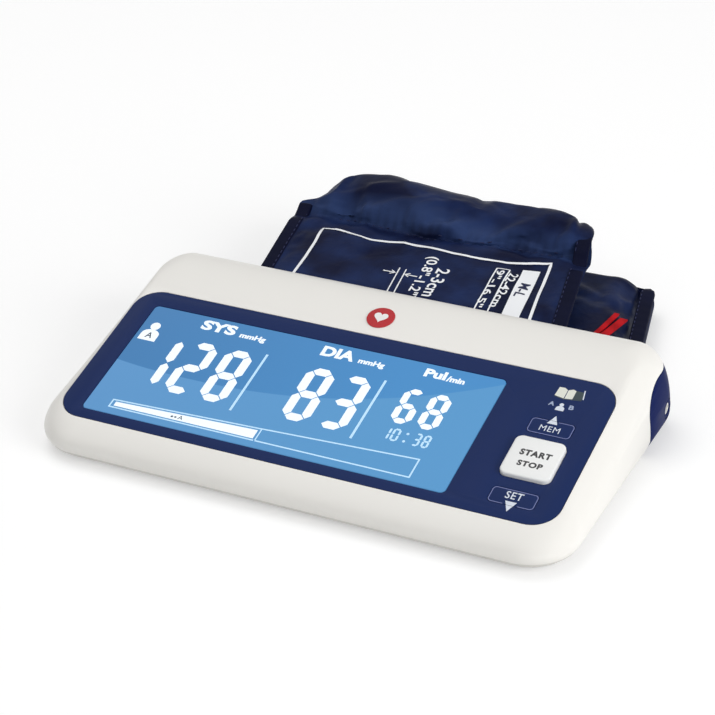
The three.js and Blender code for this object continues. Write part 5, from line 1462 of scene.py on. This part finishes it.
for name, words, box, material, lift in (
        ("label_size", "M-L", (30.9, 35.2, 35.0, 45.6), navy_ink, SIZE_LIFT),
        ("label_range", "22-42cm", (24.0, 28.5, 25.7, 50.6), fabric_ink, 0),
        ("label_range_inch", '9"-16.5"', (18.9, 23.3, 24.0, 50.6), fabric_ink, 0),
        ("label_margin", "2-3cm", (-3.6, 2.4, 24.0, 43.6), fabric_ink, 0),
        ("label_margin_inch", '(0.8"-1.2")', (-11.2, -3.6, 21.0, 49.8), fabric_ink, 0)):
    piece = lettering(
        name, words, box, material, "navy_nylon", "cuff", Matrix.Identity(4), weight=0.015,
        turn=LABEL_TURN, thick=LABEL_THICK)
    open_all(piece)
    bpy.ops.mesh.subdivide(number_cuts=2)
    bpy.ops.object.mode_set(mode="OBJECT")
    lay_on(piece, upper_skin, LABEL_GAP + lift)

# Pull tab: a loop of red woven webbing, sewn to the tail so that the cuff can be drawn out of
# its bay. Its two legs lie side by side on the padding. Sizes in millimetres.
LEG_THICK = 0.7
LEG_CLEAR = 0.1
# One leg is at its own place and width, and one lies a little higher beside it.
LEGS = (
    ("leg", [(63.6, 33.5), (64.7, 42), (66.0, 56.4)], 2.0, 0.0),
    ("other", [(66.9, 33.5), (67.9, 42), (69.3, 55.2)], 3.2, 0.1))
LEG_SECTION = ((-0.5, 0.15), (-0.47, 0), (0.47, 0), (0.5, 0.15), (0.5, 0.85), (0.47, 1.0), (-0.47, 1.0),
               (-0.5, 0.85))
# The rows of the weave are 0.8 mm apart on the real webbing, too fine to show, and are drawn
# this far apart.
ROWS_APART = 5.027 * MM

# Woven webbing: a bright, matt red in two close tones, with slanting rows that catch the light.
red_webbing, tree, shader = started("red_woven_webbing")
place = add(tree, "ShaderNodeTexCoord").outputs["Object"]
rows = add(tree, "ShaderNodeTexWave", {
    "Vector": place, "Scale": wave_scale(ROWS_APART), "Distortion": 0.4}, bands_direction="DIAGONAL")
shade = add(tree, "ShaderNodeMix", {
    0: rows.outputs["Fac"], 6: linear("#A30812"), 7: linear("#C2111C")}, data_type="RGBA")
bump = add(tree, "ShaderNodeBump", {"Height": rows.outputs["Fac"], "Strength": 0.6, "Distance": 0.15 * MM})
feed(tree, shader, {
    "Base Color": shade.outputs[2], "Normal": bump.outputs[0], "Roughness": 0.75,
    "Specular IOR Level": 0.25})

lower_skin = skin_of(lower)


def webbing_leg(name, line, width, lift):
    """A flat stiff strip along the line of (x, y), resting on the tail where that is highest."""
    line = [Vector(point) for point in line]
    spots = []
    for start, end in zip(line, line[1:]):
        spots += [start + (end - start) * k / 10 for k in range(10)]
    spots.append(line[-1])
    sections, heights = [], []
    for k, here in enumerate(spots):
        along = way_along(spots, k)
        side = Vector((along.y, -along.x))
        section = [(*((here + side * width * a) * MM), b) for a, b in LEG_SECTION]
        hits = [dropped(lower_skin, x, y)[0] for x, y, _ in section]
        sections.append(section)
        heights.append(max(hit.z for hit in hits if hit))
    first, last = heights[0], heights[-1]
    straight = [first + (last - first) * k / (len(heights) - 1) for k in range(len(heights))]
    clear = max(high - low for high, low in zip(heights, straight)) + (LEG_CLEAR + lift) * MM
    sections = [[(x, y, low + clear + LEG_THICK * MM * b) for x, y, b in section]
                for section, low in zip(sections, straight)]
    return mesh_piece(name, *lofted(sections))


legs = [webbing_leg(*leg) for leg in LEGS]
bpy.ops.object.select_all(action="DESELECT")
for leg in legs:
    leg.select_set(True)
bpy.context.view_layer.objects.active = legs[0]
bpy.ops.object.join()
dressed(legs[0], "tab_loop", red_webbing, "red_webbing", "cuff", "cuff_tab")
